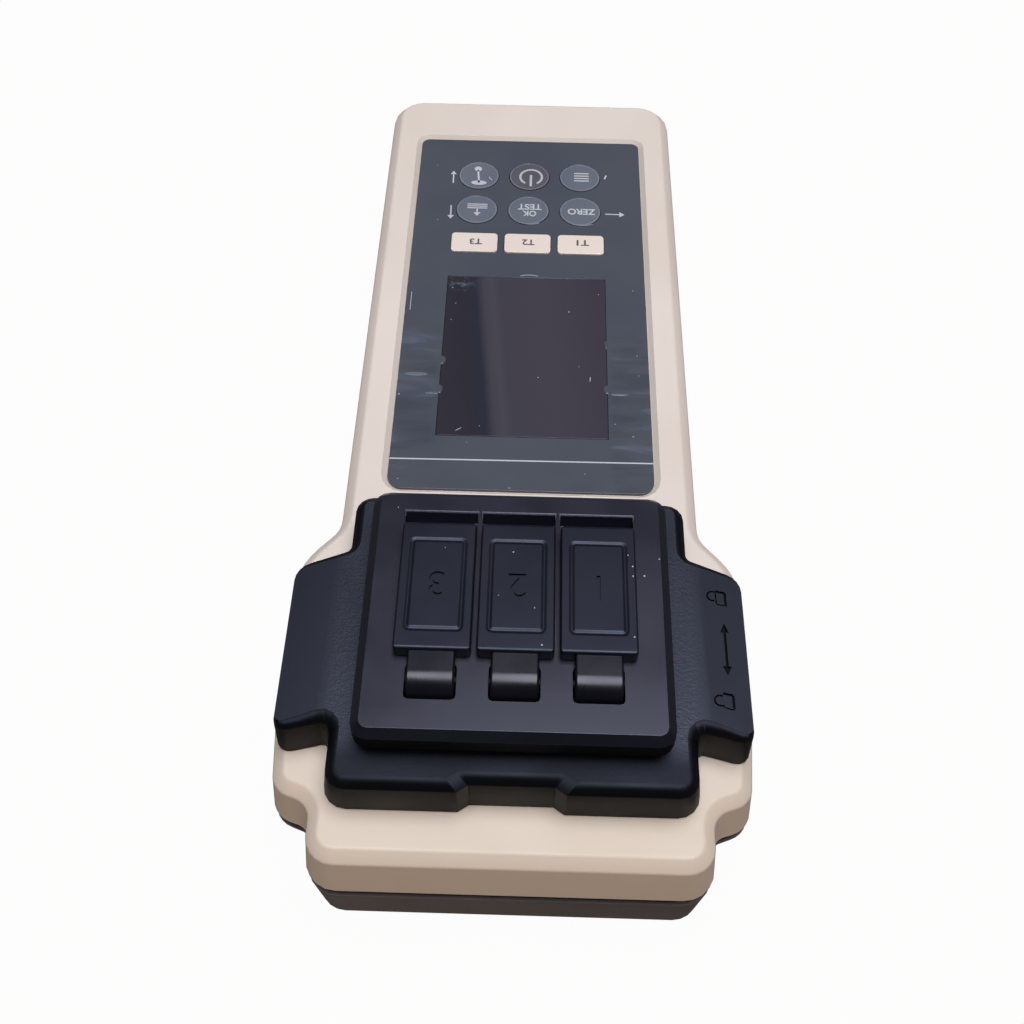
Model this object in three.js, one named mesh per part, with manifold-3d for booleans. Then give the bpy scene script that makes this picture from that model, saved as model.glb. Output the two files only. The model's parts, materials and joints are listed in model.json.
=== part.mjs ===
// Hand-held pool water photometer: a cream handle with a display and keypad, and a wide head that
// carries a black cuvette module with three hinged lids. Millimetres, X across, +Y towards the
// keypad end, Z up from the table, origin under the middle of the housing.
import * as THREE from 'three';
import { mergeVertices } from 'three/addons/utils/BufferGeometryUtils.js';
import Module from 'manifold-3d';

const wasm = await Module();
wasm.setup();

// Fits and drawing counts
const clearance = 0.3;
const seat = 0.1;
const overrun = 4;
const smallestRadius = 0.1;
const smallSteps = 2;
const middleSteps = 4;
const housingSteps = 5;
const keySides = 24;
const bossSides = 14;
const pinSides = 12;
const batterySides = 16;

// Two-part housing: the outline is given at the seam, from the nose front to the far end
const housing = {
  length: 214.6, width: 94.4, height: 34, wall: 2.4,
  handleInset: 8.25, handleTaper: 0.3, noseInset: 8.8,
  headLength: 72.45, shoulderLength: 9.5, wingFromNose: 14.1, wingSweep: 2.4,
  wingTaper: 1.6, wingTaperLength: 19.5, taperRadius: 60,
  endRadius: 9, shoulderInnerRadius: 6, shoulderOuterRadius: 18,
  wingRadius: 5.4, nookRadius: 3.2, noseRadius: 6.3,
  seamHeight: 16.9, seamGap: 3, sideDraft: 1.6, chamfer: 2.3, creaseLength: 0.45,
  lowerInset: 0.1, lowerDraft: 1.2, floorRadius: 3, floorSteps: 3,
};
const faceDraftShare = 0.1;
const lowerWingShare = 3;
const lowerSideShare = 2.2;
const creaseRiseShare = Math.SQRT1_2;
const sealSize = { inset: 0.8, width: 1.4 };

// Recessed control panel
const panel = {
  sideMargin: 10.25, fromNose: 81.8, fromEnd: 17.15, recess: 1.2, bevel: 1.3, edgeGap: 0.15,
  foil: 0.6, nearRadius: 3.6, farRadius: 2.2,
};
const display = {
  sideMargin: 9.7, fromPanelEdge: 14.75, toKeys: 8.6, windowThickness: 0.6,
  moduleSide: 2.6, moduleEnd: 5.3, moduleThickness: 5.3, moduleShift: 1.6,
};
const roundKey = {
  radius: 5.15, gap: 1.2, rowGap: 1.1, fromPanelEnd: 8.4, proud: 0.45, dome: 0.35,
  flange: 0.8, flangeThickness: 0.8, travel: 0.4,
};
const crownShares = [1, 0.7, 0.35];
const barKey = { width: 11.5, length: 6.7, gap: 0.7, rowGap: 2.4, radius: 1, proud: 0.3, flange: 0.5, edge: 0.15 };
const keyMat = { thickness: 1, domeRadius: 3, domeTip: 2, nearMargin: 4.2, farMargin: 5.6, sideMargin: 7.9 };
const board = {
  sideInset: 2.2, fromPanelEdge: 9.95, fromEnd: 14.85, thickness: 1.6, postRadius: 1.8, postInset: 2.2,
};

// Cuvette module that slides on the head: lengths along Y are counted from its nose-side edge
const moduleSize = {
  fromNose: 9.65, toPanel: 8.7, sideInset: 3.8, farInset: 0.75, wingInset: 3.3, rimHeight: 11.2,
  wingNear: 12.4, wingNearSweep: 2.4, farNeck: 13.85, wingFarSweep: 4.2,
  chamfer: 2, draft: 1.8, cornerRadius: 4.6, nookRadius: 0.8, wingFarRadius: 5, wingNearRadius: 2.5,
  scoopWidth: 15.1, scoopSlant: 2, scoopDepth: 1.4, scoopRadius: 0.7,
  wall: 2.4, wingSlope: 5, travel: 6,
};
const creaseShare = 0.976;
const farDraftShare = 0.6;
const wingFarDraftShare = 0.3;
const wingTipDraftShare = 0.45;
const wingTipChamferShare = 0.25;
const scoopChamferShare = 1.45;
const plate = {
  sideInset: 6.6, fromModuleEdge: 5.25, fromModuleEnd: 6.4, radius: 3.1, top: 20, skirt: 3.6, chamfer: 1.5,
  neckInset: 3.4,
};
const hook = {
  sideInset: 6.1, nearInset: 9.5, farInset: 15.95, stemWidth: 2.6, stemLength: 5, footWidth: 6, footThickness: 1.5,
};

// Lids, their straps and the rod that they turn on
const lid = {
  count: 3, gap: 0.95, sideMargin: 6.5, farMargin: 5.2, thickness: 2.7, radius: 0.8, edge: 0.4,
  grooveWidth: 0.65, grooveDepth: 0.5, grooveSide: 1.5, grooveEnd: 3.5,
  plugDepth: 2.5, sealThickness: 0.4,
};
const hinge = {
  fromPlateEdge: 11.5, belowTop: 1.7, strapInset: 2.65, strapOuter: 4, strapInner: 2,
  strapStart: 90, strapEnd: 208, rodRadius: 1.5, lidReach: 3.8, arcSteps: 14, nearMargin: 0.4,
  farReach: 2.5, padWidth: 2.6,
};
const notch = { length: 4.5, depth: 2.1 };
const notchFloorShare = 0.72;

// Cuvettes and the optical block around them
const cuvette = {
  sideInset: 0.75, endInset: 1.225, wall: 1, floor: 1.5, radius: 1.6,
  flange: 0.4, flangeThickness: 1.2, belowPlate: 0.3, lidShift: 0.15,
};
const tub = { wall: 1.6, floor: 1.6, lip: 2, lipThickness: 1.7, aboveFloor: 6.1 };
const light = {
  belowTop: 7.6, ledRadius: 2.5, ledRim: 0.45, ledRimThickness: 1, windowRadius: 1.5,
  diodeSize: 5, diodeThickness: 2, boardThickness: 1.6, boardBelow: 8.5, boardAbove: 4.25,
};
const ledTip = { flat: 1, waist: 0.25, waistShare: 0.7 };
const ribbon = { width: 12, thickness: 0.6 };
const buzzer = { radius: 6, height: 4, sideInset: 9.5 };

// Batteries, their compartment and its cover
const battery = {
  count: 3, radius: 7.25, length: 50.5, gap: 0.6, nubRadius: 2.7, nubLength: 1.3,
  fromEnd: 30.95, springRoom: 5, springRadius: 4, springTip: 2, contactThickness: 1,
};
const compartment = { wall: 1.6, ledge: 2.6, rim: 2.4, sideRoom: 0.6, radius: 3, bayRadius: 0.3 };
const cover = {
  thickness: 2, sunk: 0.2, seal: 0.7, sealWidth: 1.6, tab: 7,
  headRadius: 2.3, headHeight: 1, shaftRadius: 1.2, shaftLength: 4,
};
const screw = {
  headRadius: 2.6, headHeight: 2, shaftRadius: 1.3, shaftLength: 20, headDepth: 3.7,
  bossRadius: 4, upperBossRadius: 3.4, handleSide: 7.95, fromEnd: 10.5, fromShoulder: 22.85, headSide: 10.2,
  fromWing: 10.4,
};

// Levels and places that follow from the sizes
const noseY = -housing.length / 2;
const endY = housing.length / 2;
const headHalf = housing.width / 2;
const handleHalf = headHalf - housing.handleInset;
const noseHalf = headHalf - housing.noseInset;
const shoulderY = noseY + housing.headLength;
const wingNearY = noseY + housing.wingFromNose;
const lowerTop = housing.seamHeight - housing.seamGap / 2;
const upperBottom = housing.seamHeight + housing.seamGap / 2;
const innerTop = housing.height - housing.wall;

const panelWidth = 2 * (handleHalf - panel.sideMargin);
const panelNearY = noseY + panel.fromNose;
const panelFarY = endY - panel.fromEnd;
const recessFloor = housing.height - panel.recess;
const foilBottom = recessFloor + seat;
const foilTop = foilBottom + panel.foil;
const boardTop = foilBottom - display.moduleThickness - 2 * clearance;

const keyReach = roundKey.radius + roundKey.flange;
const keyPitch = 2 * keyReach + roundKey.gap;
const farRowY = panelFarY - roundKey.fromPanelEnd - keyReach;
const nearRowY = farRowY - 2 * keyReach - roundKey.rowGap;
const barKeyY = nearRowY - keyReach - barKey.rowGap - barKey.flange - barKey.length / 2;
const barPitch = barKey.width + 2 * barKey.flange + barKey.gap;
const windowWidth = panelWidth - 2 * display.sideMargin;
const windowNearY = panelNearY + display.fromPanelEdge;
const windowFarY = barKeyY - barKey.length / 2 - display.toKeys;

const moduleNearY = noseY + moduleSize.fromNose;
const moduleLength = panelNearY - moduleSize.toPanel - moduleNearY;
const moduleHalf = noseHalf - moduleSize.sideInset;
const wingTip = headHalf - moduleSize.wingInset;
const moduleBottom = housing.height + clearance;
const rimTop = housing.height + moduleSize.rimHeight;
const plateTop = housing.height + plate.top;
const plateBottom = plateTop - plate.skirt - plate.chamfer;
const neckTop = plateBottom - clearance;
const plateWidth = 2 * (moduleHalf - plate.sideInset);
const plateNearY = moduleNearY + plate.fromModuleEdge;
const plateLength = moduleLength - plate.fromModuleEdge - plate.fromModuleEnd;
const plateMiddleY = plateNearY + plateLength / 2;

const lidWidth = (plateWidth - 2 * lid.sideMargin - (lid.count - 1) * lid.gap) / lid.count;
const lidPitch = lidWidth + lid.gap;
const axisY = plateNearY + hinge.fromPlateEdge;
const axisZ = plateTop - hinge.belowTop;
const strapHalf = lidWidth / 2 - hinge.strapInset;
const lidNearY = axisY + hinge.lidReach;
const lidFarY = plateNearY + plateLength - lid.farMargin - notch.length;
const lidLength = lidFarY - lidNearY;
const lidMiddleY = (lidNearY + lidFarY) / 2;
const lidBottom = plateTop + clearance;
const lidTop = lidBottom + lid.thickness;
const lidPlaces = [];
for (let i = 0; i < lid.count; i++) {
  lidPlaces.push({ name: i + 1, x: lidPitch * ((lid.count - 1) / 2 - i) });
}

const tubBottom = housing.wall + tub.aboveFloor;
const tubTop = innerTop - clearance;
const cuvetteTop = plateTop - cuvette.belowPlate;
const cuvetteBottom = tubBottom + tub.floor + clearance;
const cuvetteY = lidMiddleY - cuvette.lidShift;
const cuvetteWidth = lidWidth - 2 * cuvette.sideInset;
const cuvetteLength = lidLength - 2 * cuvette.endInset;
const holeWidth = cuvetteWidth + 2 * clearance;
const holeLength = cuvetteLength + 2 * clearance;
const tubNearY = cuvetteY - holeLength / 2;
const tubFarY = cuvetteY + holeLength / 2 + moduleSize.travel;
const tubHalf = (lidPitch * (lid.count - 1) + holeWidth) / 2;
const lightZ = innerTop - light.belowTop;

// Solids from three.js geometry, and back to a named mesh
function solidOf(geometry) {
  geometry.deleteAttribute('normal');
  geometry.deleteAttribute('uv');
  const merged = mergeVertices(geometry, 1e-5);
  return new wasm.Manifold(new wasm.Mesh({
    numProp: 3,
    vertProperties: new Float32Array(merged.attributes.position.array),
    triVerts: new Uint32Array(merged.index.array),
  }));
}

function geometryOf(solid) {
  const { numProp, vertProperties, triVerts } = solid.getMesh();
  const geometry = new THREE.BufferGeometry();
  geometry.setAttribute('position', new THREE.BufferAttribute(new Float32Array(vertProperties), numProp));
  geometry.setIndex(new THREE.BufferAttribute(new Uint32Array(triVerts), 1));
  return geometry;
}

function box(xs, ys, zs) {
  const geometry = new THREE.BoxGeometry(xs[1] - xs[0], ys[1] - ys[0], zs[1] - zs[0]);
  geometry.translate((xs[0] + xs[1]) / 2, (ys[0] + ys[1]) / 2, (zs[0] + zs[1]) / 2);
  return solidOf(geometry);
}

function centredBox(x, halfWidth, ys, zs) {
  return box([x - halfWidth, x + halfWidth], ys, zs);
}

// A turned solid: profile points are [radius, height], standing on the Z axis at (x, y)
function turned(profile, sides, x, y) {
  const points = profile.map(([radius, height]) => new THREE.Vector2(radius, height));
  const geometry = new THREE.LatheGeometry(points, sides);
  geometry.rotateX(Math.PI / 2);
  geometry.translate(x, y, 0);
  return solidOf(geometry);
}

function cylinder(radius, low, high, sides, x, y) {
  return turned([[0, low], [radius, low], [radius, high], [0, high]], sides, x, y);
}

// The same, lying along +Y with its axis at (x, z)
function turnedAlongY(profile, sides, x, z) {
  const points = profile.map(([radius, length]) => new THREE.Vector2(radius, length));
  const geometry = new THREE.LatheGeometry(points, sides);
  geometry.translate(x, 0, z);
  return solidOf(geometry);
}

// A profile in the YZ plane, swept across X from x - halfWidth to x + halfWidth
function sweptAcross(points, x, halfWidth) {
  const shape = new THREE.Shape(points.map(([y, z]) => new THREE.Vector2(y, z)));
  const geometry = new THREE.ExtrudeGeometry(shape, { depth: 2 * halfWidth, bevelEnabled: false });
  const turn = new THREE.Matrix4().makeBasis(
    new THREE.Vector3(0, 1, 0), new THREE.Vector3(0, 0, 1), new THREE.Vector3(1, 0, 0),
  );
  geometry.applyMatrix4(turn);
  geometry.translate(x - halfWidth, 0, 0);
  return solidOf(geometry);
}

// A profile in the XZ plane, swept along Y from nearY to farY
function sweptAlong(points, nearY, farY) {
  const shape = new THREE.Shape(points.map(([x, z]) => new THREE.Vector2(x, z)));
  const geometry = new THREE.ExtrudeGeometry(shape, { depth: farY - nearY, bevelEnabled: false });
  geometry.rotateX(Math.PI / 2);
  geometry.translate(0, farY, 0);
  return solidOf(geometry);
}

function arcPoints(centreY, centreZ, radius, startDegrees, endDegrees, steps) {
  const points = [];
  for (let i = 0; i <= steps; i++) {
    const angle = THREE.MathUtils.degToRad(startDegrees + ((endDegrees - startDegrees) * i) / steps);
    points.push([centreY + radius * Math.cos(angle), centreZ + radius * Math.sin(angle)]);
  }
  return points;
}

// Outlines: corners run anticlockwise, and each carries the edge that leaves it, with its shares of
// the draft and of the slope (a chamfer, or the lean of the lower shell)
function corner(x, y, radius, draft = 1, slope = 1) {
  return { x, y, radius, draft, slope, steps: smallSteps };
}

function smoother(outline, steps) {
  return outline.map((c) => ({ ...c, steps }));
}

// A left-right symmetric outline from its right half, listed from the far end to the near end
function symmetric(half, farEdge = half[0]) {
  const right = half.map((c, i) => {
    const edge = half[i - 1] ?? farEdge;
    return { ...c, draft: edge.draft, slope: edge.slope };
  }).reverse();
  const left = half.map((c) => ({ ...c, x: -c.x }));
  return [...right, ...left];
}

function rectangle(x, y, width, length, nearRadius, farRadius = nearRadius) {
  return [
    corner(x + width / 2, y - length / 2, nearRadius),
    corner(x + width / 2, y + length / 2, farRadius),
    corner(x - width / 2, y + length / 2, farRadius),
    corner(x - width / 2, y - length / 2, nearRadius),
  ];
}

// The outline's points with every edge moved inwards and every corner rounded by an arc
function ring(outline, evenInset, draftInset = 0, slopeInset = 0) {
  const count = outline.length;
  const edges = outline.map((a, i) => {
    const b = outline[(i + 1) % count];
    const along = new THREE.Vector2(b.x - a.x, b.y - a.y).normalize();
    const inwards = new THREE.Vector2(-along.y, along.x);
    const inset = evenInset + draftInset * a.draft + slopeInset * a.slope;
    const start = new THREE.Vector2(a.x, a.y).addScaledVector(inwards, inset);
    return { along, inwards, inset, start };
  });
  const points = [];
  outline.forEach((c, i) => {
    const before = edges[(i + count - 1) % count];
    const after = edges[i];
    const turn = before.along.cross(after.along);
    const reach = after.start.clone().sub(before.start).cross(after.along) / turn;
    const tip = before.start.clone().addScaledVector(before.along, reach);
    const side = Math.sign(turn);
    const inset = (before.inset + after.inset) / 2;
    const radius = Math.max(c.radius - side * inset, smallestRadius);
    const swing = Math.atan2(turn, before.along.dot(after.along));
    const back = radius * Math.tan(Math.abs(swing) / 2);
    const centre = tip.addScaledVector(before.along, -back).addScaledVector(before.inwards, side * radius);
    const start = Math.atan2(-side * before.inwards.y, -side * before.inwards.x);
    for (let step = 0; step <= c.steps; step++) {
      const angle = start + (swing * step) / c.steps;
      points.push(new THREE.Vector2(centre.x + radius * Math.cos(angle), centre.y + radius * Math.sin(angle)));
    }
  });
  return points;
}

// A closed skin through rings of one outline; each level is [z, even, draft and slope insets]
function loft(outline, levels) {
  const rings = levels.map(([, ...insets]) => ring(outline, ...insets));
  const around = rings[0].length;
  const positions = [];
  rings.forEach((points, level) => points.forEach((p) => positions.push(p.x, p.y, levels[level][0])));
  const faces = [];
  for (let level = 0; level + 1 < rings.length; level++) {
    for (let i = 0; i < around; i++) {
      const a = level * around + i;
      const b = level * around + ((i + 1) % around);
      faces.push(a, b, b + around, a, b + around, a + around);
    }
  }
  const last = (rings.length - 1) * around;
  for (const [a, b, c] of THREE.ShapeUtils.triangulateShape(rings[0], [])) {
    faces.push(c, b, a);
  }
  for (const [a, b, c] of THREE.ShapeUtils.triangulateShape(rings[rings.length - 1], [])) {
    faces.push(last + a, last + b, last + c);
  }
  const geometry = new THREE.BufferGeometry();
  geometry.setAttribute('position', new THREE.Float32BufferAttribute(positions, 3));
  geometry.setIndex(faces);
  return solidOf(geometry);
}

function prism(outline, low, high, inset = 0) {
  return loft(outline, [[low, inset], [high, inset]]);
}

function joined(solids) {
  return solids.reduce((sum, solid) => sum.add(solid));
}

function without(solid, cutters) {
  return solid.subtract(joined(cutters));
}

// Materials by colour
function plastic(color, roughness) {
  return new THREE.MeshStandardMaterial({ color, roughness, metalness: 0 });
}
function metal(color, roughness) {
  return new THREE.MeshStandardMaterial({ color, roughness, metalness: 1 });
}
const cream = plastic(0xded4ca, 0.5);
const darkGrey = plastic(0x46403e, 0.6);
const blackPlastic = plastic(0x23242e, 0.55);
const sealRubber = plastic(0x101010, 0.8);
const slate = plastic(0x424b55, 0.25);
const blackGlass = plastic(0x15131a, 0.1);
const greenBoard = plastic(0x1d5a3c, 0.5);
const clear = new THREE.MeshStandardMaterial({
  color: 0xe8eef0, roughness: 0.05, metalness: 0, transparent: true, opacity: 0.35,
});
const steel = metal(0xb9babd, 0.3);
const cellWrap = metal(0x3b4a58, 0.35);
const epoxy = plastic(0xe7e2c8, 0.15);
const silicon = plastic(0x16181c, 0.3);

const photometer = new THREE.Group();

function addPart(name, solid, material) {
  const geometry = geometryOf(solid);
  geometry.computeVertexNormals();
  const mesh = new THREE.Mesh(geometry, material);
  mesh.name = name;
  photometer.add(mesh);
  return mesh;
}

// Housing outline at the seam
const housingOutline = smoother(symmetric([
  corner(handleHalf - housing.handleTaper, endY, housing.endRadius),
  corner(handleHalf, shoulderY, housing.shoulderInnerRadius),
  corner(headHalf, shoulderY - housing.shoulderLength, housing.shoulderOuterRadius, 1, lowerSideShare),
  corner(headHalf, wingNearY + housing.wingTaperLength, housing.taperRadius, 1, lowerSideShare),
  corner(headHalf - housing.wingTaper, wingNearY, housing.wingRadius, faceDraftShare, lowerWingShare),
  corner(noseHalf, wingNearY - housing.wingSweep, housing.nookRadius),
  corner(noseHalf, noseY, housing.noseRadius, faceDraftShare),
], { draft: faceDraftShare, slope: 1 }), housingSteps);

// Levels of the upper shell's outside: a drafted side, then a chamfer with its two creases eased
function upperLevels() {
  const { height, chamfer, creaseLength, sideDraft } = housing;
  const rise = creaseLength * creaseRiseShare;
  return [
    [upperBottom, 0, 0],
    [height - chamfer - creaseLength, 0, sideDraft],
    [height - chamfer + rise, rise, sideDraft],
    [height - rise, chamfer - rise, sideDraft],
    [height, chamfer + creaseLength, sideDraft],
  ];
}

// Levels of the lower shell's outside: a quarter round at the floor, then a lean up to the seam
function lowerLevels() {
  const { floorRadius, floorSteps, lowerInset, lowerDraft } = housing;
  const levels = [];
  for (let i = 0; i <= floorSteps; i++) {
    const angle = (Math.PI / 2) * (i / floorSteps);
    levels.push([floorRadius * (1 - Math.cos(angle)), lowerInset + floorRadius * (1 - Math.sin(angle)), 0, lowerDraft]);
  }
  levels.push([lowerTop, lowerInset, 0, 0]);
  return levels;
}

const screwPlaces = [];
for (const side of [-1, 1]) {
  screwPlaces.push([side * (handleHalf - screw.handleSide), endY - screw.fromEnd]);
  screwPlaces.push([side * (handleHalf - screw.handleSide), shoulderY + screw.fromShoulder]);
  screwPlaces.push([side * (headHalf - screw.headSide), wingNearY + screw.fromWing]);
}

// Compartment for the cells, open downwards and closed by the cover
const cellPitch = 2 * battery.radius + battery.gap;
const bayLength = battery.length + battery.springRoom + 2 * battery.contactThickness + 3 * clearance;
const bayFarY = endY - battery.fromEnd;
const bayNearY = bayFarY - bayLength;
const bayHalf = (cellPitch * (battery.count - 1)) / 2 + battery.radius + compartment.sideRoom;
const coverTop = cover.sunk + cover.thickness;
const cellZ = coverTop + clearance + battery.radius;
const bayTop = cellZ + battery.radius + clearance;
const pocketTop = coverTop + cover.seal + 2 * seat;
const bayMiddleY = (bayNearY + bayFarY) / 2;
const pocketHalf = bayHalf + compartment.ledge;
const pocketLength = bayLength + 2 * (compartment.ledge + cover.tab);
const coverScrewReach = bayLength / 2 + compartment.ledge + cover.tab / 2;
const coverScrewYs = [bayMiddleY - coverScrewReach, bayMiddleY + coverScrewReach];

function lowerShell() {
  const wallInset = housing.lowerInset + housing.wall;
  const inside = [
    [housing.wall, wallInset, 0, housing.lowerDraft],
    [lowerTop, wallInset, 0, 0],
    [lowerTop + overrun, wallInset, 0, 0],
  ];
  const bay = rectangle(0, bayMiddleY, 2 * bayHalf, bayLength, compartment.bayRadius);
  const pocket = rectangle(0, bayMiddleY, 2 * pocketHalf, pocketLength, compartment.radius);
  const bayWalls = prism(bay, 0, bayTop + compartment.wall, -compartment.wall);
  const pocketWalls = prism(pocket, 0, pocketTop + compartment.rim, -compartment.wall);
  const bosses = screwPlaces.map(([x, y]) => cylinder(screw.bossRadius, 0, lowerTop - clearance, bossSides, x, y));
  const shell = joined([
    loft(housingOutline, lowerLevels()).subtract(loft(housingOutline, inside)),
    bayWalls,
    pocketWalls,
    ...bosses,
  ]);
  const seatHeight = screw.headDepth + screw.headHeight + seat;
  const coverHoles = coverScrewYs.map((y) => cylinder(
    cover.shaftRadius + seat, 0, pocketTop + compartment.rim + overrun, pinSides, 0, y,
  ));
  return without(shell, [
    prism(bay, -overrun, bayTop),
    prism(pocket, -overrun, pocketTop),
    ...coverHoles,
    ...screwPlaces.map(([x, y]) => cylinder(
      screw.headRadius + clearance, -overrun, seatHeight, pinSides, x, y,
    )),
    ...screwPlaces.map(([x, y]) => cylinder(
      screw.shaftRadius + seat, -overrun, lowerTop + overrun, pinSides, x, y,
    )),
  ]);
}

const panelOutline = smoother(rectangle(
  0, (panelNearY + panelFarY) / 2, panelWidth, panelFarY - panelNearY, panel.nearRadius, panel.farRadius,
), middleSteps);
const windowY = (windowNearY + windowFarY) / 2;
const windowLength = windowFarY - windowNearY;
const windowOutline = rectangle(0, windowY, windowWidth, windowLength, smallestRadius);
const screenOutline = rectangle(
  0, windowY + display.moduleShift, windowWidth + 2 * display.moduleSide,
  windowLength + 2 * display.moduleEnd, smallestRadius,
);

const keys = [];
const keyColumns = ['left', 'middle', 'right'];
for (const [row, y] of Object.entries({ near: nearRowY, far: farRowY })) {
  keyColumns.forEach((column, i) => {
    keys.push({ name: `key_${row}_${column}`, round: true, x: (i - 1) * keyPitch, y });
  });
}
['t3', 't2', 't1'].forEach((label, i) => {
  keys.push({ name: `key_${label}`, round: false, x: (i - 1) * barPitch, y: barKeyY });
});

function keyHole(key, low, high) {
  if (key.round) {
    return cylinder(roundKey.radius + clearance, low, high, keySides, key.x, key.y);
  }
  const outline = rectangle(key.x, key.y, barKey.width, barKey.length, barKey.radius);
  return prism(outline, low, high, -clearance);
}

const boardNearY = panelNearY + board.fromPanelEdge;
const boardFarY = endY - board.fromEnd;
const boardHalf = panelWidth / 2 - board.sideInset;
const postX = boardHalf - board.postInset;
const postYs = [boardNearY + board.postInset, boardFarY - board.postInset];

// Hooks hang from the module into keyhole slots of the head: they drop in through the wide end
// and are held by the narrow end
const hookX = moduleHalf - hook.sideInset;
const hookYs = [moduleNearY + hook.nearInset, moduleNearY + moduleLength - hook.farInset];

function hookSlots() {
  const slots = [];
  for (const side of [-1, 1]) {
    for (const y of hookYs) {
      const near = y - hook.stemLength / 2 - clearance;
      const far = y + hook.stemLength / 2 + moduleSize.travel + clearance;
      const wideNear = far - hook.stemLength - 2 * clearance;
      const zs = [innerTop - overrun, housing.height + overrun];
      slots.push(centredBox(side * hookX, hook.stemWidth / 2 + clearance, [near, far], zs));
      slots.push(centredBox(side * hookX, hook.footWidth / 2 + clearance, [wideNear, far], zs));
    }
  }
  return slots;
}

function upperShell() {
  const inside = [
    [upperBottom - overrun, housing.wall, 0],
    [upperBottom, housing.wall, 0],
    [innerTop, housing.wall, housing.sideDraft],
  ];
  const underPanel = prism(panelOutline, recessFloor - housing.wall, innerTop + seat, -panel.bevel - housing.wall);
  const shell = loft(housingOutline, upperLevels())
    .subtract(loft(housingOutline, inside))
    .add(underPanel);
  const bosses = screwPlaces.map(([x, y]) => cylinder(
    screw.upperBossRadius, upperBottom, innerTop + seat, bossSides, x, y,
  ));
  const posts = [-1, 1].flatMap((side) => postYs.map((y) => cylinder(
    board.postRadius, boardTop + clearance, recessFloor - seat, pinSides, side * postX, y,
  )));
  const shaftTop = screw.headDepth + screw.headHeight + screw.shaftLength + clearance;
  return without(joined([shell, ...bosses, ...posts]), [
    loft(panelOutline, [
      [recessFloor, -panel.edgeGap],
      [housing.height, -panel.bevel],
      [housing.height + overrun, -panel.bevel],
    ]),
    prism(screenOutline, recessFloor - housing.wall - overrun, housing.height, -clearance),
    ...keys.map((key) => keyHole(key, recessFloor - housing.wall - overrun, housing.height)),
    ...screwPlaces.map(([x, y]) => cylinder(
      screw.shaftRadius + seat, upperBottom - overrun, shaftTop, pinSides, x, y,
    )),
    box([-tubHalf, tubHalf], [tubNearY, tubFarY], [innerTop - overrun, housing.height + overrun]),
    ...hookSlots(),
  ]);
}

function sealRing() {
  const low = lowerTop + seat;
  const high = upperBottom - seat;
  const outer = prism(housingOutline, low, high, sealSize.inset);
  return outer.subtract(prism(housingOutline, low - overrun, high + overrun, sealSize.inset + sealSize.width));
}

function panelFoil() {
  return without(prism(panelOutline, foilBottom, foilTop), [
    prism(windowOutline, foilBottom - overrun, foilTop + overrun, -seat),
    ...keys.map((key) => keyHole(key, foilBottom - overrun, foilTop + overrun)),
  ]);
}

const screenTop = foilBottom - clearance;
const screenBottom = boardTop + clearance;

// Keys stand through the foil; a flange under the housing top holds them in
const flangeTop = recessFloor - housing.wall - clearance;
const flangeBottom = flangeTop - roundKey.flangeThickness;

function keyCap(key) {
  if (key.round) {
    const shoulder = foilTop + roundKey.proud - roundKey.dome;
    const crown = crownShares.map((share) => {
      return [roundKey.radius * share, shoulder + roundKey.dome * (1 - share * share)];
    });
    return turned([
      [0, flangeBottom],
      [roundKey.radius + roundKey.flange, flangeBottom],
      [roundKey.radius + roundKey.flange, flangeTop],
      [roundKey.radius, flangeTop],
      ...crown,
      [0, shoulder + roundKey.dome],
    ], keySides, key.x, key.y);
  }
  const outline = rectangle(key.x, key.y, barKey.width, barKey.length, barKey.radius);
  const top = foilTop + barKey.proud;
  return prism(outline, flangeBottom, flangeTop, -barKey.flange)
    .add(loft(outline, [[flangeBottom + seat, 0], [top - barKey.edge, 0], [top, barKey.edge]]));
}

// Rubber mat with one dome under each key
function rubberMat() {
  const low = boardTop + seat;
  const high = low + keyMat.thickness;
  const domeTop = flangeBottom - roundKey.travel - seat;
  const sheet = centredBox(
    0, keyPitch + keyMat.sideMargin, [barKeyY - keyMat.nearMargin, farRowY + keyMat.farMargin], [low, high],
  );
  const domes = keys.map((key) => turned([
    [0, low + seat],
    [keyMat.domeRadius, low + seat],
    [keyMat.domeRadius, high],
    [keyMat.domeTip, domeTop],
    [0, domeTop],
  ], pinSides, key.x, key.y));
  return joined([sheet, ...domes]);
}

// Module body: one rounded outline, chamfered at the top, with wings that slope outwards
function moduleOutline() {
  const m = moduleSize;
  const near = moduleNearY;
  const far = near + moduleLength;
  const wingFar = far - m.farNeck;
  const farHalf = moduleHalf - m.farInset;
  const scoopTip = m.scoopWidth / 2;
  return symmetric([
    corner(farHalf, far, m.cornerRadius, farDraftShare),
    corner(farHalf, wingFar, m.nookRadius, wingFarDraftShare),
    corner(wingTip, wingFar - m.wingFarSweep, m.wingFarRadius, wingTipDraftShare, wingTipChamferShare),
    corner(wingTip, near + m.wingNear - m.wingNearSweep, m.wingNearRadius, 0),
    corner(moduleHalf, near + m.wingNear, m.nookRadius, 1),
    corner(moduleHalf, near, m.cornerRadius, 0),
    corner(scoopTip + m.scoopSlant, near, m.scoopRadius, 0, scoopChamferShare),
    corner(scoopTip, near + m.scoopDepth, m.scoopRadius, 0),
  ]);
}

const moduleShape = smoother(moduleOutline(), middleSteps);
const plateOutline = smoother(
  rectangle(0, plateMiddleY, plateWidth, plateLength, plate.radius), middleSteps,
);

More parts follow.
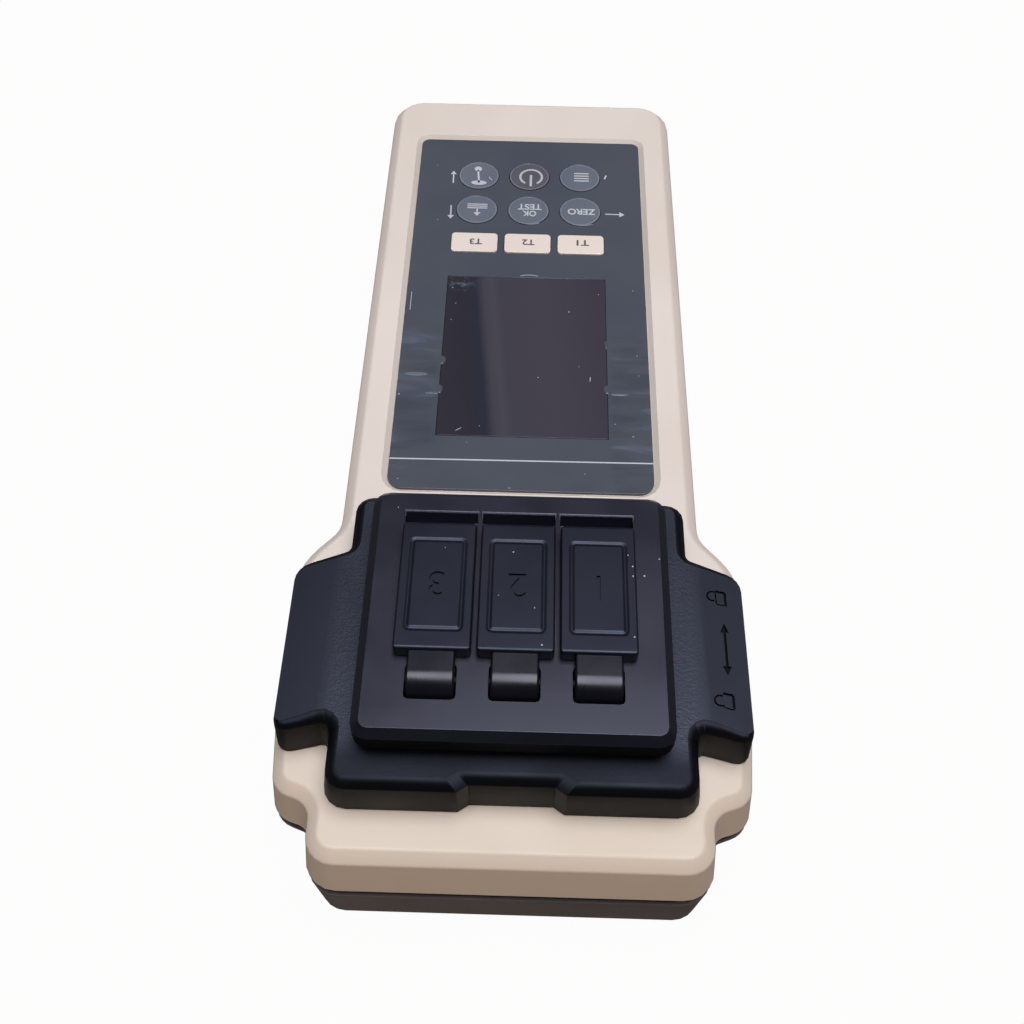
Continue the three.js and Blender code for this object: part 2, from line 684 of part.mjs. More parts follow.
// What stands above the wings' top faces, which fall outwards from a crease
function aboveWings() {
  const crease = moduleHalf * creaseShare;
  const tip = wingTip + overrun;
  const drop = (tip - crease) * Math.tan(THREE.MathUtils.degToRad(moduleSize.wingSlope));
  return [-1, 1].map((side) => sweptAlong([
    [side * crease, rimTop],
    [side * crease, rimTop + overrun],
    [side * tip, rimTop + overrun],
    [side * tip, rimTop - drop],
  ], moduleNearY - overrun, moduleNearY + moduleLength + overrun));
}

function cuvetteHoles(low, high) {
  return lidPlaces.map(({ x }) => prism(
    rectangle(x, cuvetteY, cuvetteWidth, cuvetteLength, cuvette.radius), low, high, -clearance,
  ));
}

const slotHalf = strapHalf + clearance;
const slotYs = [axisY - hinge.strapOuter - hinge.nearMargin, axisY + hinge.farReach];
const padPlaces = [-1, 1].flatMap((side) => [
  side * lidPitch / 2,
  side * (lidPitch + slotHalf + hinge.padWidth / 2 + clearance),
]);

function moduleBody() {
  const m = moduleSize;
  const chamferLow = rimTop - m.chamfer;
  const low = moduleBottom - overrun;
  const outside = without(loft(moduleShape, [
    [low, 0, 0, 0], [chamferLow, 0, m.draft, 0], [rimTop, 0, m.draft, m.chamfer],
  ]), aboveWings());
  const hollow = loft(moduleShape, [
    [low - overrun, m.wall, m.draft, 0], [rimTop - m.wall, m.wall, m.draft, 0],
  ]);
  const sleeves = box(
    [-tubHalf - m.wall, tubHalf + m.wall],
    [tubNearY - m.wall, cuvetteY + holeLength / 2 + m.wall],
    [low - overrun - overrun, rimTop],
  );
  const below = box(
    [-2 * wingTip, 2 * wingTip], [2 * noseY, 2 * endY], [-overrun, moduleBottom],
  );
  const neck = prism(plateOutline, rimTop - m.wall, neckTop, plate.neckInset);
  const pads = padPlaces.map((x) => centredBox(
    x, hinge.padWidth / 2, [axisY - hinge.rodRadius, axisY + hinge.rodRadius],
    [rimTop, axisZ - hinge.rodRadius - clearance],
  ));
  const hooks = [];
  for (const side of [-1, 1]) {
    for (const y of hookYs) {
      const ys = [y - hook.stemLength / 2, y + hook.stemLength / 2];
      const footTop = innerTop - clearance;
      const footZs = [footTop - hook.footThickness, footTop];
      hooks.push(centredBox(side * hookX, hook.stemWidth / 2, ys, [footZs[0], rimTop - m.wall + seat]));
      hooks.push(centredBox(side * hookX, hook.footWidth / 2, ys, footZs));
    }
  }
  const troughs = lidPlaces.map(({ x }) => centredBox(
    x, slotHalf, [slotYs[0], axisY + hinge.strapOuter],
    [axisZ - hinge.strapOuter - clearance - seat, plateTop],
  ));
  const body = outside.subtract(hollow.subtract(sleeves)).subtract(below);
  return without(joined([body, neck, ...pads]), [...cuvetteHoles(0, plateTop), ...troughs])
    .add(joined(hooks));
}

// Plate that carries the lids: openings for the cuvettes, slots for the straps, a groove from
// below for the hinge rod, and a finger notch at the far edge of each lid
function lidPlate() {
  const body = loft(plateOutline, [
    [plateBottom, 0], [plateTop - plate.chamfer, 0], [plateTop, plate.chamfer],
  ]);
  const rebates = lidPlaces.map(({ x }) => prism(
    rectangle(x, cuvetteY, cuvetteWidth, cuvetteLength, cuvette.radius),
    cuvetteTop - cuvette.flangeThickness - seat, plateTop + overrun, -cuvette.flange - clearance,
  ));
  const slots = lidPlaces.map(({ x }) => prism(
    rectangle(x, (slotYs[0] + slotYs[1]) / 2, 2 * slotHalf, slotYs[1] - slotYs[0], lid.radius),
    plateBottom - overrun, plateTop + overrun,
  ));
  const rodHalf = lidPitch + slotHalf + hinge.padWidth + 2 * clearance;
  const grooveRadius = hinge.rodRadius + seat;
  const groove = sweptAcross([
    ...arcPoints(axisY, axisZ, grooveRadius, 0, 180, pinSides / 2),
    [axisY - grooveRadius, plateBottom - overrun],
    [axisY + grooveRadius, plateBottom - overrun],
  ], 0, rodHalf);
  const notches = lidPlaces.map(({ x }) => sweptAcross([
    [lidFarY + notch.length, plateTop + seat],
    [lidFarY, plateTop + seat],
    [lidFarY, plateTop - notch.depth],
    [lidFarY + notch.length * notchFloorShare, plateTop - notch.depth],
  ], x, lidWidth / 2));
  return without(body, [
    ...cuvetteHoles(plateBottom - overrun, plateTop + overrun), ...rebates, ...slots, groove, ...notches,
  ]);
}

function hingeRod() {
  const half = lidPitch + slotHalf + hinge.padWidth + clearance;
  return sweptAcross(arcPoints(axisY, axisZ, hinge.rodRadius, 0, 360, pinSides).slice(0, -1), 0, half);
}

// A lid with its raised panel, the plug that closes the cuvette and the strap round the rod
function lidSolid(x) {
  const outline = rectangle(x, lidMiddleY, lidWidth, lidLength, lid.radius);
  const top = loft(outline, [[lidBottom, 0], [lidTop - lid.edge, 0], [lidTop, lid.edge]]);
  const grooveOutline = rectangle(
    x, lidMiddleY, lidWidth - 2 * lid.grooveSide, lidLength - 2 * lid.grooveEnd, lid.radius,
  );
  const grooveLow = lidTop - lid.grooveDepth;
  const groove = prism(grooveOutline, grooveLow, lidTop + overrun)
    .subtract(prism(grooveOutline, grooveLow - overrun, lidTop + overrun + overrun, lid.grooveWidth));
  const plug = prism(
    rectangle(x, cuvetteY, cuvetteWidth, cuvetteLength, cuvette.radius),
    cuvetteTop - lid.plugDepth, lidBottom + seat, cuvette.wall + clearance,
  );
  const strap = sweptAcross([
    [lidNearY + lid.radius, axisZ + hinge.strapInner],
    [lidNearY + lid.radius, axisZ + hinge.strapOuter],
    ...arcPoints(axisY, axisZ, hinge.strapOuter, hinge.strapStart, hinge.strapEnd, hinge.arcSteps),
    ...arcPoints(axisY, axisZ, hinge.strapInner, hinge.strapEnd, hinge.strapStart, hinge.arcSteps),
  ].reverse(), x, strapHalf);
  return joined([top.subtract(groove), plug, strap]);
}

function lidSeal(x) {
  const outline = rectangle(x, cuvetteY, cuvetteWidth, cuvetteLength, cuvette.radius);
  const high = lidBottom - seat;
  const low = high - lid.sealThickness;
  return prism(outline, low, high, clearance)
    .subtract(prism(outline, low - overrun, high + overrun, cuvette.wall + seat));
}

function cuvetteSolid(x) {
  const outline = rectangle(x, cuvetteY, cuvetteWidth, cuvetteLength, cuvette.radius);
  return prism(outline, cuvetteBottom, cuvetteTop)
    .add(prism(outline, cuvetteTop - cuvette.flangeThickness, cuvetteTop, -cuvette.flange))
    .subtract(prism(outline, cuvetteBottom + cuvette.floor, cuvetteTop + overrun, cuvette.wall));
}

// Black optical block: one trough for each cuvette, long enough for the module's travel
function opticalTub() {
  const walls = box(
    [-tubHalf - tub.wall, tubHalf + tub.wall],
    [tubNearY - tub.wall, tubFarY + tub.wall],
    [tubBottom, tubTop],
  );
  const lip = box(
    [-tubHalf - tub.lip, tubHalf + tub.lip],
    [tubNearY - tub.lip, tubFarY + tub.lip],
    [tubTop - tub.lipThickness, tubTop],
  );
  const troughs = lidPlaces.map(({ x }) => centredBox(
    x, holeWidth / 2, [tubNearY, tubFarY], [tubBottom + tub.floor, tubTop + overrun],
  ));
  const lightWays = lidPlaces.flatMap(({ x }) => [
    lightHole(light.ledRadius + seat, x, tubNearY - overrun, tubNearY + seat),
    lightHole(light.windowRadius, x, tubFarY - seat, tubFarY + overrun),
  ]);
  return without(joined([walls, lip]), [...troughs, ...lightWays]);
}

function lightHole(radius, x, nearY, farY) {
  return turnedAlongY([[0, nearY], [radius, nearY], [radius, farY], [0, farY]], pinSides, x, lightZ);
}

const ledTipY = tubNearY - clearance;
const ledRimY = tubNearY - tub.wall - seat;
const ledBack = ledRimY - light.ledRimThickness;
const ledBoardY = ledBack - seat;

function ledSolid(x) {
  const r = light.ledRadius;
  return turnedAlongY([
    [0, ledBack],
    [r + light.ledRim, ledBack],
    [r + light.ledRim, ledRimY],
    [r, ledRimY],
    [r, ledTipY - ledTip.flat],
    [r * ledTip.waistShare, ledTipY - ledTip.waist],
    [0, ledTipY],
  ], pinSides, x, lightZ);
}

const diodeNearY = tubFarY + tub.wall + seat;
const diodeFarY = diodeNearY + light.diodeThickness;
const sensorBoardY = diodeFarY + seat;

function opticsBoard(nearY) {
  return box(
    [-tubHalf, tubHalf],
    [nearY, nearY + light.boardThickness],
    [lightZ - light.boardBelow, lightZ + light.boardAbove],
  );
}

// Flat cable from the sensor board's back to the underside of the main board's edge
function ribbonCable() {
  const startY = sensorBoardY + light.boardThickness + seat;
  const startZ = lightZ;
  const under = boardTop - board.thickness - seat;
  const t = ribbon.thickness;
  const endYRibbon = boardNearY + ribbon.width;
  return sweptAcross([
    [startY, startZ - ribbon.width / 2],
    [startY + t, startZ - ribbon.width / 2],
    [startY + t, startZ - t],
    [boardNearY, under - t],
    [endYRibbon, under - t],
    [endYRibbon, under],
    [boardNearY, under],
    [startY, startZ],
  ], 0, ribbon.width / 2);
}

function batteryCell(x, nearY, nubFar) {
  const { radius, length, nubRadius, nubLength } = battery;
  const can = length - nubLength;
  const profile = [[0, 0], [radius, 0], [radius, can], [nubRadius, can], [nubRadius, length], [0, length]];
  const placed = nubFar
    ? profile.map(([r, along]) => [r, nearY + along])
    : profile.map(([r, along]) => [r, nearY + length - along]).reverse();
  return turnedAlongY(placed, batterySides, x, cellZ);
}

const cellNearY = bayNearY + clearance + battery.contactThickness + clearance;
const cellXs = [];
for (let i = 0; i < battery.count; i++) {
  cellXs.push((i - (battery.count - 1) / 2) * cellPitch);
}

// Contact strip with a flat plate; the far one carries a tapered spring for each cell
function contactStrip(nearY, withSprings) {
  const strip = box(
    [-bayHalf + clearance, bayHalf - clearance],
    [nearY, nearY + battery.contactThickness],
    [coverTop + clearance + seat, bayTop - clearance],
  );
  if (!withSprings) {
    return strip;
  }
  const tip = cellNearY + battery.length + seat;
  const springs = cellXs.map((x) => turnedAlongY([
    [0, tip],
    [battery.springTip, tip],
    [battery.springRadius, nearY + seat],
    [0, nearY + seat],
  ], pinSides, x, cellZ));
  return joined([strip, ...springs]);
}

function batteryCover() {
  const outline = rectangle(0, bayMiddleY, 2 * pocketHalf, pocketLength, compartment.radius);
  const headTop = cover.sunk + cover.headHeight + seat;
  const holes = coverScrewYs.flatMap((y) => [
    cylinder(cover.shaftRadius + seat, -overrun, coverTop + overrun, pinSides, 0, y),
    cylinder(cover.headRadius + clearance, -overrun, headTop, pinSides, 0, y),
  ]);
  return without(prism(outline, cover.sunk, coverTop, clearance), holes);
}

function coverSeal() {
  const outline = rectangle(0, bayMiddleY, 2 * bayHalf, bayLength, compartment.bayRadius);
  const low = coverTop + seat;
  const high = low + cover.seal;
  return prism(outline, low, high, -clearance - cover.sealWidth)
    .subtract(prism(outline, low - overrun, high + overrun, -clearance));
}

function screwSolid(headLow, headRadius, headHeight, shaftRadius, shaftLength, x, y) {
  return turned([
    [0, headLow],
    [headRadius, headLow],
    [headRadius, headLow + headHeight],
    [shaftRadius, headLow + headHeight],
    [shaftRadius, headLow + headHeight + shaftLength],
    [0, headLow + headHeight + shaftLength],
  ], pinSides, x, y);
}

// Housing
addPart('lower_shell', lowerShell(), darkGrey);
addPart('upper_shell', upperShell(), cream);
addPart('shell_seal', sealRing(), sealRubber);
screwPlaces.forEach(([x, y], i) => {
  const solid = screwSolid(
    screw.headDepth, screw.headRadius, screw.headHeight, screw.shaftRadius, screw.shaftLength, x, y,
  );
  addPart(`housing_screw_${i + 1}`, solid, steel);
});

// Panel, display and keys
addPart('panel_foil', panelFoil(), slate);
addPart('display_window', prism(windowOutline, foilTop - display.windowThickness, foilTop), blackGlass);
addPart('display_module', prism(screenOutline, screenBottom, screenTop), silicon);
for (const key of keys) {
  addPart(key.name, keyCap(key), key.round ? slate : cream);
}
addPart('key_mat', rubberMat(), sealRubber);
addPart('main_board', centredBox(
  0, boardHalf, [boardNearY, boardFarY], [boardTop - board.thickness, boardTop],
), greenBoard);
addPart('buzzer', cylinder(
  buzzer.radius, boardTop - board.thickness - seat - buzzer.height, boardTop - board.thickness - seat,
  keySides, boardHalf - buzzer.sideInset, boardNearY + ribbon.width + clearance + buzzer.radius,
), silicon);

// Cuvette module
addPart('module_body', moduleBody(), blackPlastic);
addPart('lid_plate', lidPlate(), blackPlastic);
addPart('hinge_rod', hingeRod(), steel);
for (const { name, x } of lidPlaces) {
  addPart(`lid_${name}`, lidSolid(x), blackPlastic);
  addPart(`lid_seal_${name}`, lidSeal(x), sealRubber);
  addPart(`cuvette_${name}`, cuvetteSolid(x), clear);
}

// Optics in the head
addPart('optical_tub', opticalTub(), blackPlastic);
for (const { name, x } of lidPlaces) {
  addPart(`led_${name}`, ledSolid(x), epoxy);
  addPart(`photodiode_${name}`, centredBox(
    x, light.diodeSize / 2, [diodeNearY, diodeFarY],
    [lightZ - light.diodeSize / 2, lightZ + light.diodeSize / 2],
  ), silicon);
}
addPart('led_board', opticsBoard(ledBoardY - light.boardThickness), greenBoard);
addPart('sensor_board', opticsBoard(sensorBoardY), greenBoard);
addPart('ribbon_cable', ribbonCable(), plastic(0x8b8f94, 0.6));

// Power
cellXs.forEach((x, i) => {
  addPart(`battery_${i + 1}`, batteryCell(x, cellNearY, i % 2 === 0), cellWrap);
});
addPart('contact_near', contactStrip(bayNearY + clearance, false), steel);
addPart('contact_far', contactStrip(bayFarY - clearance - battery.contactThickness, true), steel);
addPart('battery_cover', batteryCover(), darkGrey);
addPart('battery_cover_seal', coverSeal(), sealRubber);
coverScrewYs.forEach((y, i) => {
  const solid = screwSolid(
    cover.sunk, cover.headRadius, cover.headHeight, cover.shaftRadius, cover.shaftLength, 0, y,
  );
  addPart(`cover_screw_${i + 1}`, solid, steel);
});

export default photometer;
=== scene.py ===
# %% [markdown]
# # A pool water photometer
#
# The instrument lies on its back on a table: a cream handle with a slate control panel, and a wide
# head that carries a black module with three numbered lids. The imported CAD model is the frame: each
# of its nodes has its place in its own vertices, in metres, and moves with a body. The pieces below
# dress that frame. Lengths are written in millimetres, because that is how such a part is drawn, and
# are multiplied by MM where Blender needs metres.

# %% Load the frame
import json
import math

import bmesh
import bpy
from mathutils import Matrix, Vector

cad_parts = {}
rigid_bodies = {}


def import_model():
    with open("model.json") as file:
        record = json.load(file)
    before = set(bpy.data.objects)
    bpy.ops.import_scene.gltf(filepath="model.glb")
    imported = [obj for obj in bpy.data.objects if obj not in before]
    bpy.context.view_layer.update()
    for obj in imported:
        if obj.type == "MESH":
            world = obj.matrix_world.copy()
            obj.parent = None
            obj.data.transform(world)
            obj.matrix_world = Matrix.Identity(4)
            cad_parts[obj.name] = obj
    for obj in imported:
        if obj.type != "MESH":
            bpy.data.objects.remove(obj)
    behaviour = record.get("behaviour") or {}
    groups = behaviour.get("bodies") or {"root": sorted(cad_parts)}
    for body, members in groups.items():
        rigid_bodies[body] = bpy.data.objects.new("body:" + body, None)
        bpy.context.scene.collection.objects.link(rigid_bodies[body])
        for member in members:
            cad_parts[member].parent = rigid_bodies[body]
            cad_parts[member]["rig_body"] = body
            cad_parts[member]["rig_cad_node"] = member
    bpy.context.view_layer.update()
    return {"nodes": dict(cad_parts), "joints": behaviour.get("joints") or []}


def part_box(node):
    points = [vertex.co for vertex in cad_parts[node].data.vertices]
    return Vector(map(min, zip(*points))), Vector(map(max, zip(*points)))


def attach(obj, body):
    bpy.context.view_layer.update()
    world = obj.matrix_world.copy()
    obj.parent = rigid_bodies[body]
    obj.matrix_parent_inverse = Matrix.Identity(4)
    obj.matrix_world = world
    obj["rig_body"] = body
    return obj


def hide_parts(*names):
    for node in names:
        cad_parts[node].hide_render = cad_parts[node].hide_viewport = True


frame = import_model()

MM = 0.001

# %% [markdown]
# ## Camera
#
# The photograph was taken from the head's end, looking down at the panel. Its camera was found from
# the vanishing point of the long edges and from the roundness of the keys, so the camera is set by
# numbers: where it stands, how far it looks down, how far it is turned to the side, and its small
# roll. The turns are multiplied in that order, the roll innermost, because it is about the lens.

# %% Camera
CAMERA_PLACE = (0.600, -181.587, 246.652)
LOOKS_DOWN, TURNED, ROLLED = 54.7605, -0.8475, 0.8661
LENS_LENGTH = 43.59

bpy.ops.object.camera_add()
camera = bpy.context.active_object
camera.name = "photo_camera"
camera.data.sensor_width = 36
camera.data.lens = LENS_LENGTH
camera.data.clip_start = 0.01
camera.matrix_world = (
    Matrix.Translation(Vector(CAMERA_PLACE) * MM)
    @ Matrix.Rotation(-math.radians(TURNED), 4, "Z")
    @ Matrix.Rotation(math.radians(90 - LOOKS_DOWN), 4, "X")
    @ Matrix.Rotation(math.radians(ROLLED), 4, "Z")
)
bpy.context.scene.camera = camera
bpy.context.scene.view_settings.view_transform = "Standard"
print("camera at", [round(x, 3) for x in camera.location])

# %% [markdown]
# ## Colours and nodes
#
# A screen colour such as #E1D5CB is stored on a curve, while light adds up on a straight line, so
# each hex colour is turned to linear before a shader gets it. Materials are graphs of nodes. One
# function adds a node, sets what it is given and joins its inputs, which keeps each material below
# short enough to read as a recipe.

# %% Helpers for colours and nodes
def linear(hex_colour):
    """A screen colour such as "#E1D5CB" as the linear colour that a shader reads."""
    channels = [int(hex_colour[i:i + 2], 16) / 255 for i in (1, 3, 5)]
    return [c / 12.92 if c <= 0.04045 else ((c + 0.055) / 1.055) ** 2.4 for c in channels] + [1]


def per_mm(size):
    """The texture scale at which one grain or cell is this many millimetres, on metre coordinates."""
    return 1000 / size


def add_node(tree, kind, settings, links=None):
    """Adds one node. A setting or link names an input, by name or number, or else a property."""
    made = tree.nodes.new(kind)
    for key, value in settings.items():
        if isinstance(key, int) or key in made.inputs:
            made.inputs[key].default_value = value
        elif key == "stops":
            ramp = made.color_ramp.elements
            while len(ramp) < len(value):
                ramp.new(1)
            for stop, (place, colour) in zip(ramp, value):
                stop.position, stop.color = place, linear(colour)
        else:
            setattr(made, key, value)
    for key, source in (links or {}).items():
        tree.links.new(source, made.inputs[key])
    return made


def new_material(name, **shader_settings):
    """An empty material with its Principled shader joined up: returns material, tree, shader, place."""
    material = bpy.data.materials.new(name)
    material.use_nodes = True
    tree = material.node_tree
    tree.nodes.clear()
    shader = add_node(tree, "ShaderNodeBsdfPrincipled", shader_settings)
    add_node(tree, "ShaderNodeOutputMaterial", {}, {"Surface": shader.outputs["BSDF"]})
    place = add_node(tree, "ShaderNodeTexCoord", {}).outputs["Object"]
    return material, tree, shader, place


def opened(material):
    """The tree, the shader and the object coordinates of a material that is already made."""
    tree = material.node_tree
    shader = next(node for node in tree.nodes if node.type == "BSDF_PRINCIPLED")
    place = next(node for node in tree.nodes if node.type == "TEX_COORD").outputs["Object"]
    return tree, shader, place


def lay_over(tree, shader, amount, colour):
    """Lays a colour over the shader's own, as strongly as the socket named amount says."""
    laid = add_node(tree, "ShaderNodeMix", {"data_type": "RGBA", 7: linear(colour)}, {
        0: amount, 6: shader.inputs["Base Color"].links[0].from_socket,
    })
    tree.links.new(laid.outputs[2], shader.inputs["Base Color"])


print("linear cream is", [round(c, 3) for c in linear("#E1D5CB")[:3]])

# %% [markdown]
# ## Moulded plastic
#
# Most of the instrument is ABS, injection moulded in a steel mould whose wall was roughened by spark
# erosion. Up close the surface is a field of tiny pits, about a quarter of a millimetre wide, that
# breaks up the shine. Over a few centimetres the colour drifts slightly, because the plastic flows
# and cools unevenly, and handling leaves spots that are a little glossier. So one recipe makes every
# moulded plastic here: a slow noise between two near colours, a second slow noise for the roughness,
# and a fine noise for the pits. Only the numbers differ.

# %% Recipe for moulded plastic
def moulded_plastic(
    name, colour, drift_colour, roughness, pit, pit_depth, specular=0.5, worn=0.06, tint="#FFFFFF",
):
    """ABS from a spark-eroded mould. pit and pit_depth are in mm, worn is how far the gloss varies."""
    material, tree, shader, place = new_material(
        name, **{"IOR": 1.53, "Specular IOR Level": specular, "Specular Tint": linear(tint)},
    )
    flow = add_node(tree, "ShaderNodeTexNoise", {"Scale": per_mm(38), "Detail": 2.0}, {"Vector": place})
    pigment = add_node(tree, "ShaderNodeValToRGB", {
        "stops": [(0.35, colour), (0.65, drift_colour)],
    }, {"Fac": flow.outputs["Fac"]})
    tree.links.new(pigment.outputs["Color"], shader.inputs["Base Color"])
    touched = add_node(tree, "ShaderNodeTexNoise", {"Scale": per_mm(14), "Detail": 4.0}, {"Vector": place})
    gloss = add_node(tree, "ShaderNodeMapRange", {
        "From Min": 0.35, "From Max": 0.65, "To Min": roughness - worn, "To Max": roughness + worn,
    }, {"Value": touched.outputs["Fac"]})
    tree.links.new(gloss.outputs["Result"], shader.inputs["Roughness"])
    pits = add_node(tree, "ShaderNodeTexNoise", {
        "Scale": per_mm(pit), "Detail": 3.0, "Roughness": 0.6,
    }, {"Vector": place})
    bump = add_node(tree, "ShaderNodeBump", {
        "Strength": 0.6, "Distance": pit_depth * MM,
    }, {"Height": pits.outputs["Fac"]})
    tree.links.new(bump.outputs["Normal"], shader.inputs["Normal"])
    return material


# %% [markdown]
# The cream shell is satin: its pits are shallow, and the drift goes towards a slightly pinker cream.
# The lower shell is a warm dark grey ABS, duller than the top. The module is black with a little
# blue in it, and its pits are drawn about twice their real width so that they show in the picture.
# The lid plate comes from a finer mould and shines more than the lids. Black plastic mirrors the
# ceiling with a blue cast, which BLUISH gives. Three copies of the black stand in for light: a warm one
# on the module's upright faces is a painted reflection of the cream and the table, a matt one is
# painted shade in recesses and under the plate, and a darker one is painted shade on the chamfers.
# Each line gives the colour, the colour that it drifts to, the roughness, the width and depth of the
# pits in mm, the specular level, how far the gloss varies, and the tint of what it mirrors.

# %% Moulded plastics of the instrument
BLUISH = "#D4DEFC"
cream_abs = moulded_plastic("cream_abs_moulded", "#E6DACE", "#E1D4C7", 0.48, 0.35, 0.012)
dark_abs = moulded_plastic("dark_grey_abs_moulded", "#6A6361", "#5E5755", 0.6, 0.4, 0.03, 0.3)
black_abs = moulded_plastic(
    "black_abs_spark_eroded", "#0A0B11", "#08090D", 0.4, 0.5, 0.075, 0.56, 0.04, BLUISH,
)
plate_abs = moulded_plastic(
    "black_abs_fine_satin", "#14151E", "#101119", 0.32, 0.3, 0.006, 0.66, 0.04, "#E4E6FF",
)
lid_abs = moulded_plastic("black_abs_lid_satin", "#12131C", "#0E0F17", 0.4, 0.3, 0.006, 0.42, 0.05, BLUISH)
strap_abs = moulded_plastic(
    "black_abs_strap_gloss", "#12131B", "#0E0F16", 0.3, 0.6, 0.004, 0.42, 0.05, "#EDEBFA",
)
# Painted reflection: a warm brown black for upright faces, standing in for the cream and the table they mirror.
warm_painted_wall_abs = moulded_plastic("black_abs_wall_painted_warm_reflection", "#140F0C", "#0F0B09", 0.5, 0.4, 0.02, 0.16)
# Painted shade: a matt, darker black for walls in recesses and under the plate.
painted_shade_abs = moulded_plastic("black_abs_painted_shade", "#0B0B10", "#08080C", 0.6, 0.4, 0.02, 0.08)
# Painted shade: a darker black for the module's chamfers.
chamfer_painted_shade_abs = moulded_plastic(
    "black_abs_chamfer_painted_shade", "#08080B", "#060608", 0.5, 0.4, 0.01, 0.25, 0.04, BLUISH,
)
inner_abs = moulded_plastic("black_abs_inside", "#1A1A1C", "#141416", 0.65, 0.4, 0.03, 0.3)
print(len(bpy.data.materials), "materials so far")

# %% [markdown]
# On the module only the flat rim round the plate is spark-eroded. The wings beside it are smoother and
# duller, and the change follows a straight crease on each side. So the material measures how far a
# point is from the middle line: beyond the crease the pits fade out and the roughness rises. The rim's
# colour is painted a little paler and bluer than the wings', a painted sheen for its rougher surface,
# and in front of the plate it is painted black, a painted shadow of the plate, where it also turns matt.
#
# The cream plastic is a little yellower at the head's end, and one slow ramp along the instrument
# does that.

# %% Smooth wings and a yellower nose
CREASE, CREASE_BLEND = 34.0, 1.4
PLATE_SHADOW_FROM, PLATE_SHADOW_TO = -88, -92.5
WING_DULLER, FRONT_DULLER = 0.17, 0.3
tree, shader, place = opened(black_abs)
bump = next(node for node in tree.nodes if node.type == "BUMP")
across = add_node(tree, "ShaderNodeSeparateXYZ", {}, {0: place})
aside = add_node(tree, "ShaderNodeMath", {"operation": "ABSOLUTE"}, {0: across.outputs["X"]})
on_wing = add_node(tree, "ShaderNodeMapRange", {
    "From Min": (CREASE - CREASE_BLEND) * MM, "From Max": (CREASE + CREASE_BLEND) * MM,
}, {"Value": aside.outputs["Value"]}).outputs["Result"]
fade = add_node(tree, "ShaderNodeMapRange", {"To Min": 0.7, "To Max": 0.08}, {"Value": on_wing})
tree.links.new(fade.outputs["Result"], bump.inputs["Strength"])
# Painted shadow: in front of the plate, where its shadow falls, the rim is painted black and made matt.
in_painted_plate_shadow = add_node(tree, "ShaderNodeMapRange", {
    "From Min": PLATE_SHADOW_FROM * MM, "From Max": PLATE_SHADOW_TO * MM,
}, {"Value": across.outputs["Y"]})
wing_or_painted_shadow = add_node(tree, "ShaderNodeMath", {"operation": "MAXIMUM"}, {
    0: on_wing, 1: in_painted_plate_shadow.outputs["Result"],
})
# Painted sheen: between the creases the rim is painted paler and bluer, and the wings and the painted shadow keep
# the black.
painted_rim_sheen_and_shadow = add_node(tree, "ShaderNodeMix", {"data_type": "RGBA", 6: linear("#1F2127")}, {
    0: wing_or_painted_shadow.outputs["Value"], 7: shader.inputs["Base Color"].links[0].from_socket,
})
tree.links.new(painted_rim_sheen_and_shadow.outputs[2], shader.inputs["Base Color"])
rim_gloss = shader.inputs["Roughness"].links[0].from_socket
duller = add_node(tree, "ShaderNodeMath", {"operation": "MULTIPLY_ADD", 1: WING_DULLER}, {
    0: on_wing, 2: rim_gloss,
})
gloss = add_node(tree, "ShaderNodeMath", {"operation": "MULTIPLY_ADD", 1: FRONT_DULLER}, {
    0: in_painted_plate_shadow.outputs["Result"], 2: duller.outputs["Value"],
})
tree.links.new(gloss.outputs["Value"], shader.inputs["Roughness"])

NOSE_FROM, NOSE_TO = -55, -95
tree, shader, place = opened(cream_abs)
along = add_node(tree, "ShaderNodeSeparateXYZ", {}, {0: place})
yellower_towards_nose = add_node(tree, "ShaderNodeMapRange", {
    "From Min": NOSE_FROM * MM, "From Max": NOSE_TO * MM, "To Max": 0.9,
}, {"Value": along.outputs["Y"]})
lay_over(tree, shader, yellower_towards_nose.outputs["Result"], "#DCCBB8")
print("the wings begin", CREASE, "mm from the middle line")

# %% [markdown]
# ## Film, glass and keys
#
# The control panel is one sheet of polyester film, printed slate on its back and glossy in front.
# Such a film is never quite flat, so a slow, shallow noise bends its reflections. The display window
# is the same kind of gloss over black. The keys are domed caps under the same film, a little lighter
# than the panel, and the three bar keys are printed cream.

# %% Recipe for glossy printed film
def printed_film(name, colour, drift_colour, roughness, wave, wave_depth, specular=0.5):
    """Glossy film over a print. wave and wave_depth say, in mm, how it lies off flat."""
    material, tree, shader, place = new_material(
        name, **{"IOR": 1.5, "Specular IOR Level": specular},
    )
    cloud = add_node(tree, "ShaderNodeTexNoise", {"Scale": per_mm(25), "Detail": 3.0}, {"Vector": place})
    tint = add_node(tree, "ShaderNodeValToRGB", {
        "stops": [(0.35, colour), (0.65, drift_colour)],
    }, {"Fac": cloud.outputs["Fac"]})
    tree.links.new(tint.outputs["Color"], shader.inputs["Base Color"])
    wiped = add_node(tree, "ShaderNodeTexNoise", {"Scale": per_mm(9), "Detail": 5.0}, {"Vector": place})
    gloss = add_node(tree, "ShaderNodeMapRange", {
        "From Min": 0.4, "From Max": 0.7, "To Min": roughness, "To Max": roughness + 0.12,
    }, {"Value": wiped.outputs["Fac"]})
    tree.links.new(gloss.outputs["Result"], shader.inputs["Roughness"])
    waves = add_node(tree, "ShaderNodeTexNoise", {"Scale": per_mm(wave), "Detail": 2.0}, {"Vector": place})
    bump = add_node(tree, "ShaderNodeBump", {
        "Strength": 0.5, "Distance": wave_depth * MM,
    }, {"Height": waves.outputs["Fac"]})
    tree.links.new(bump.outputs["Normal"], shader.inputs["Normal"])
    return material


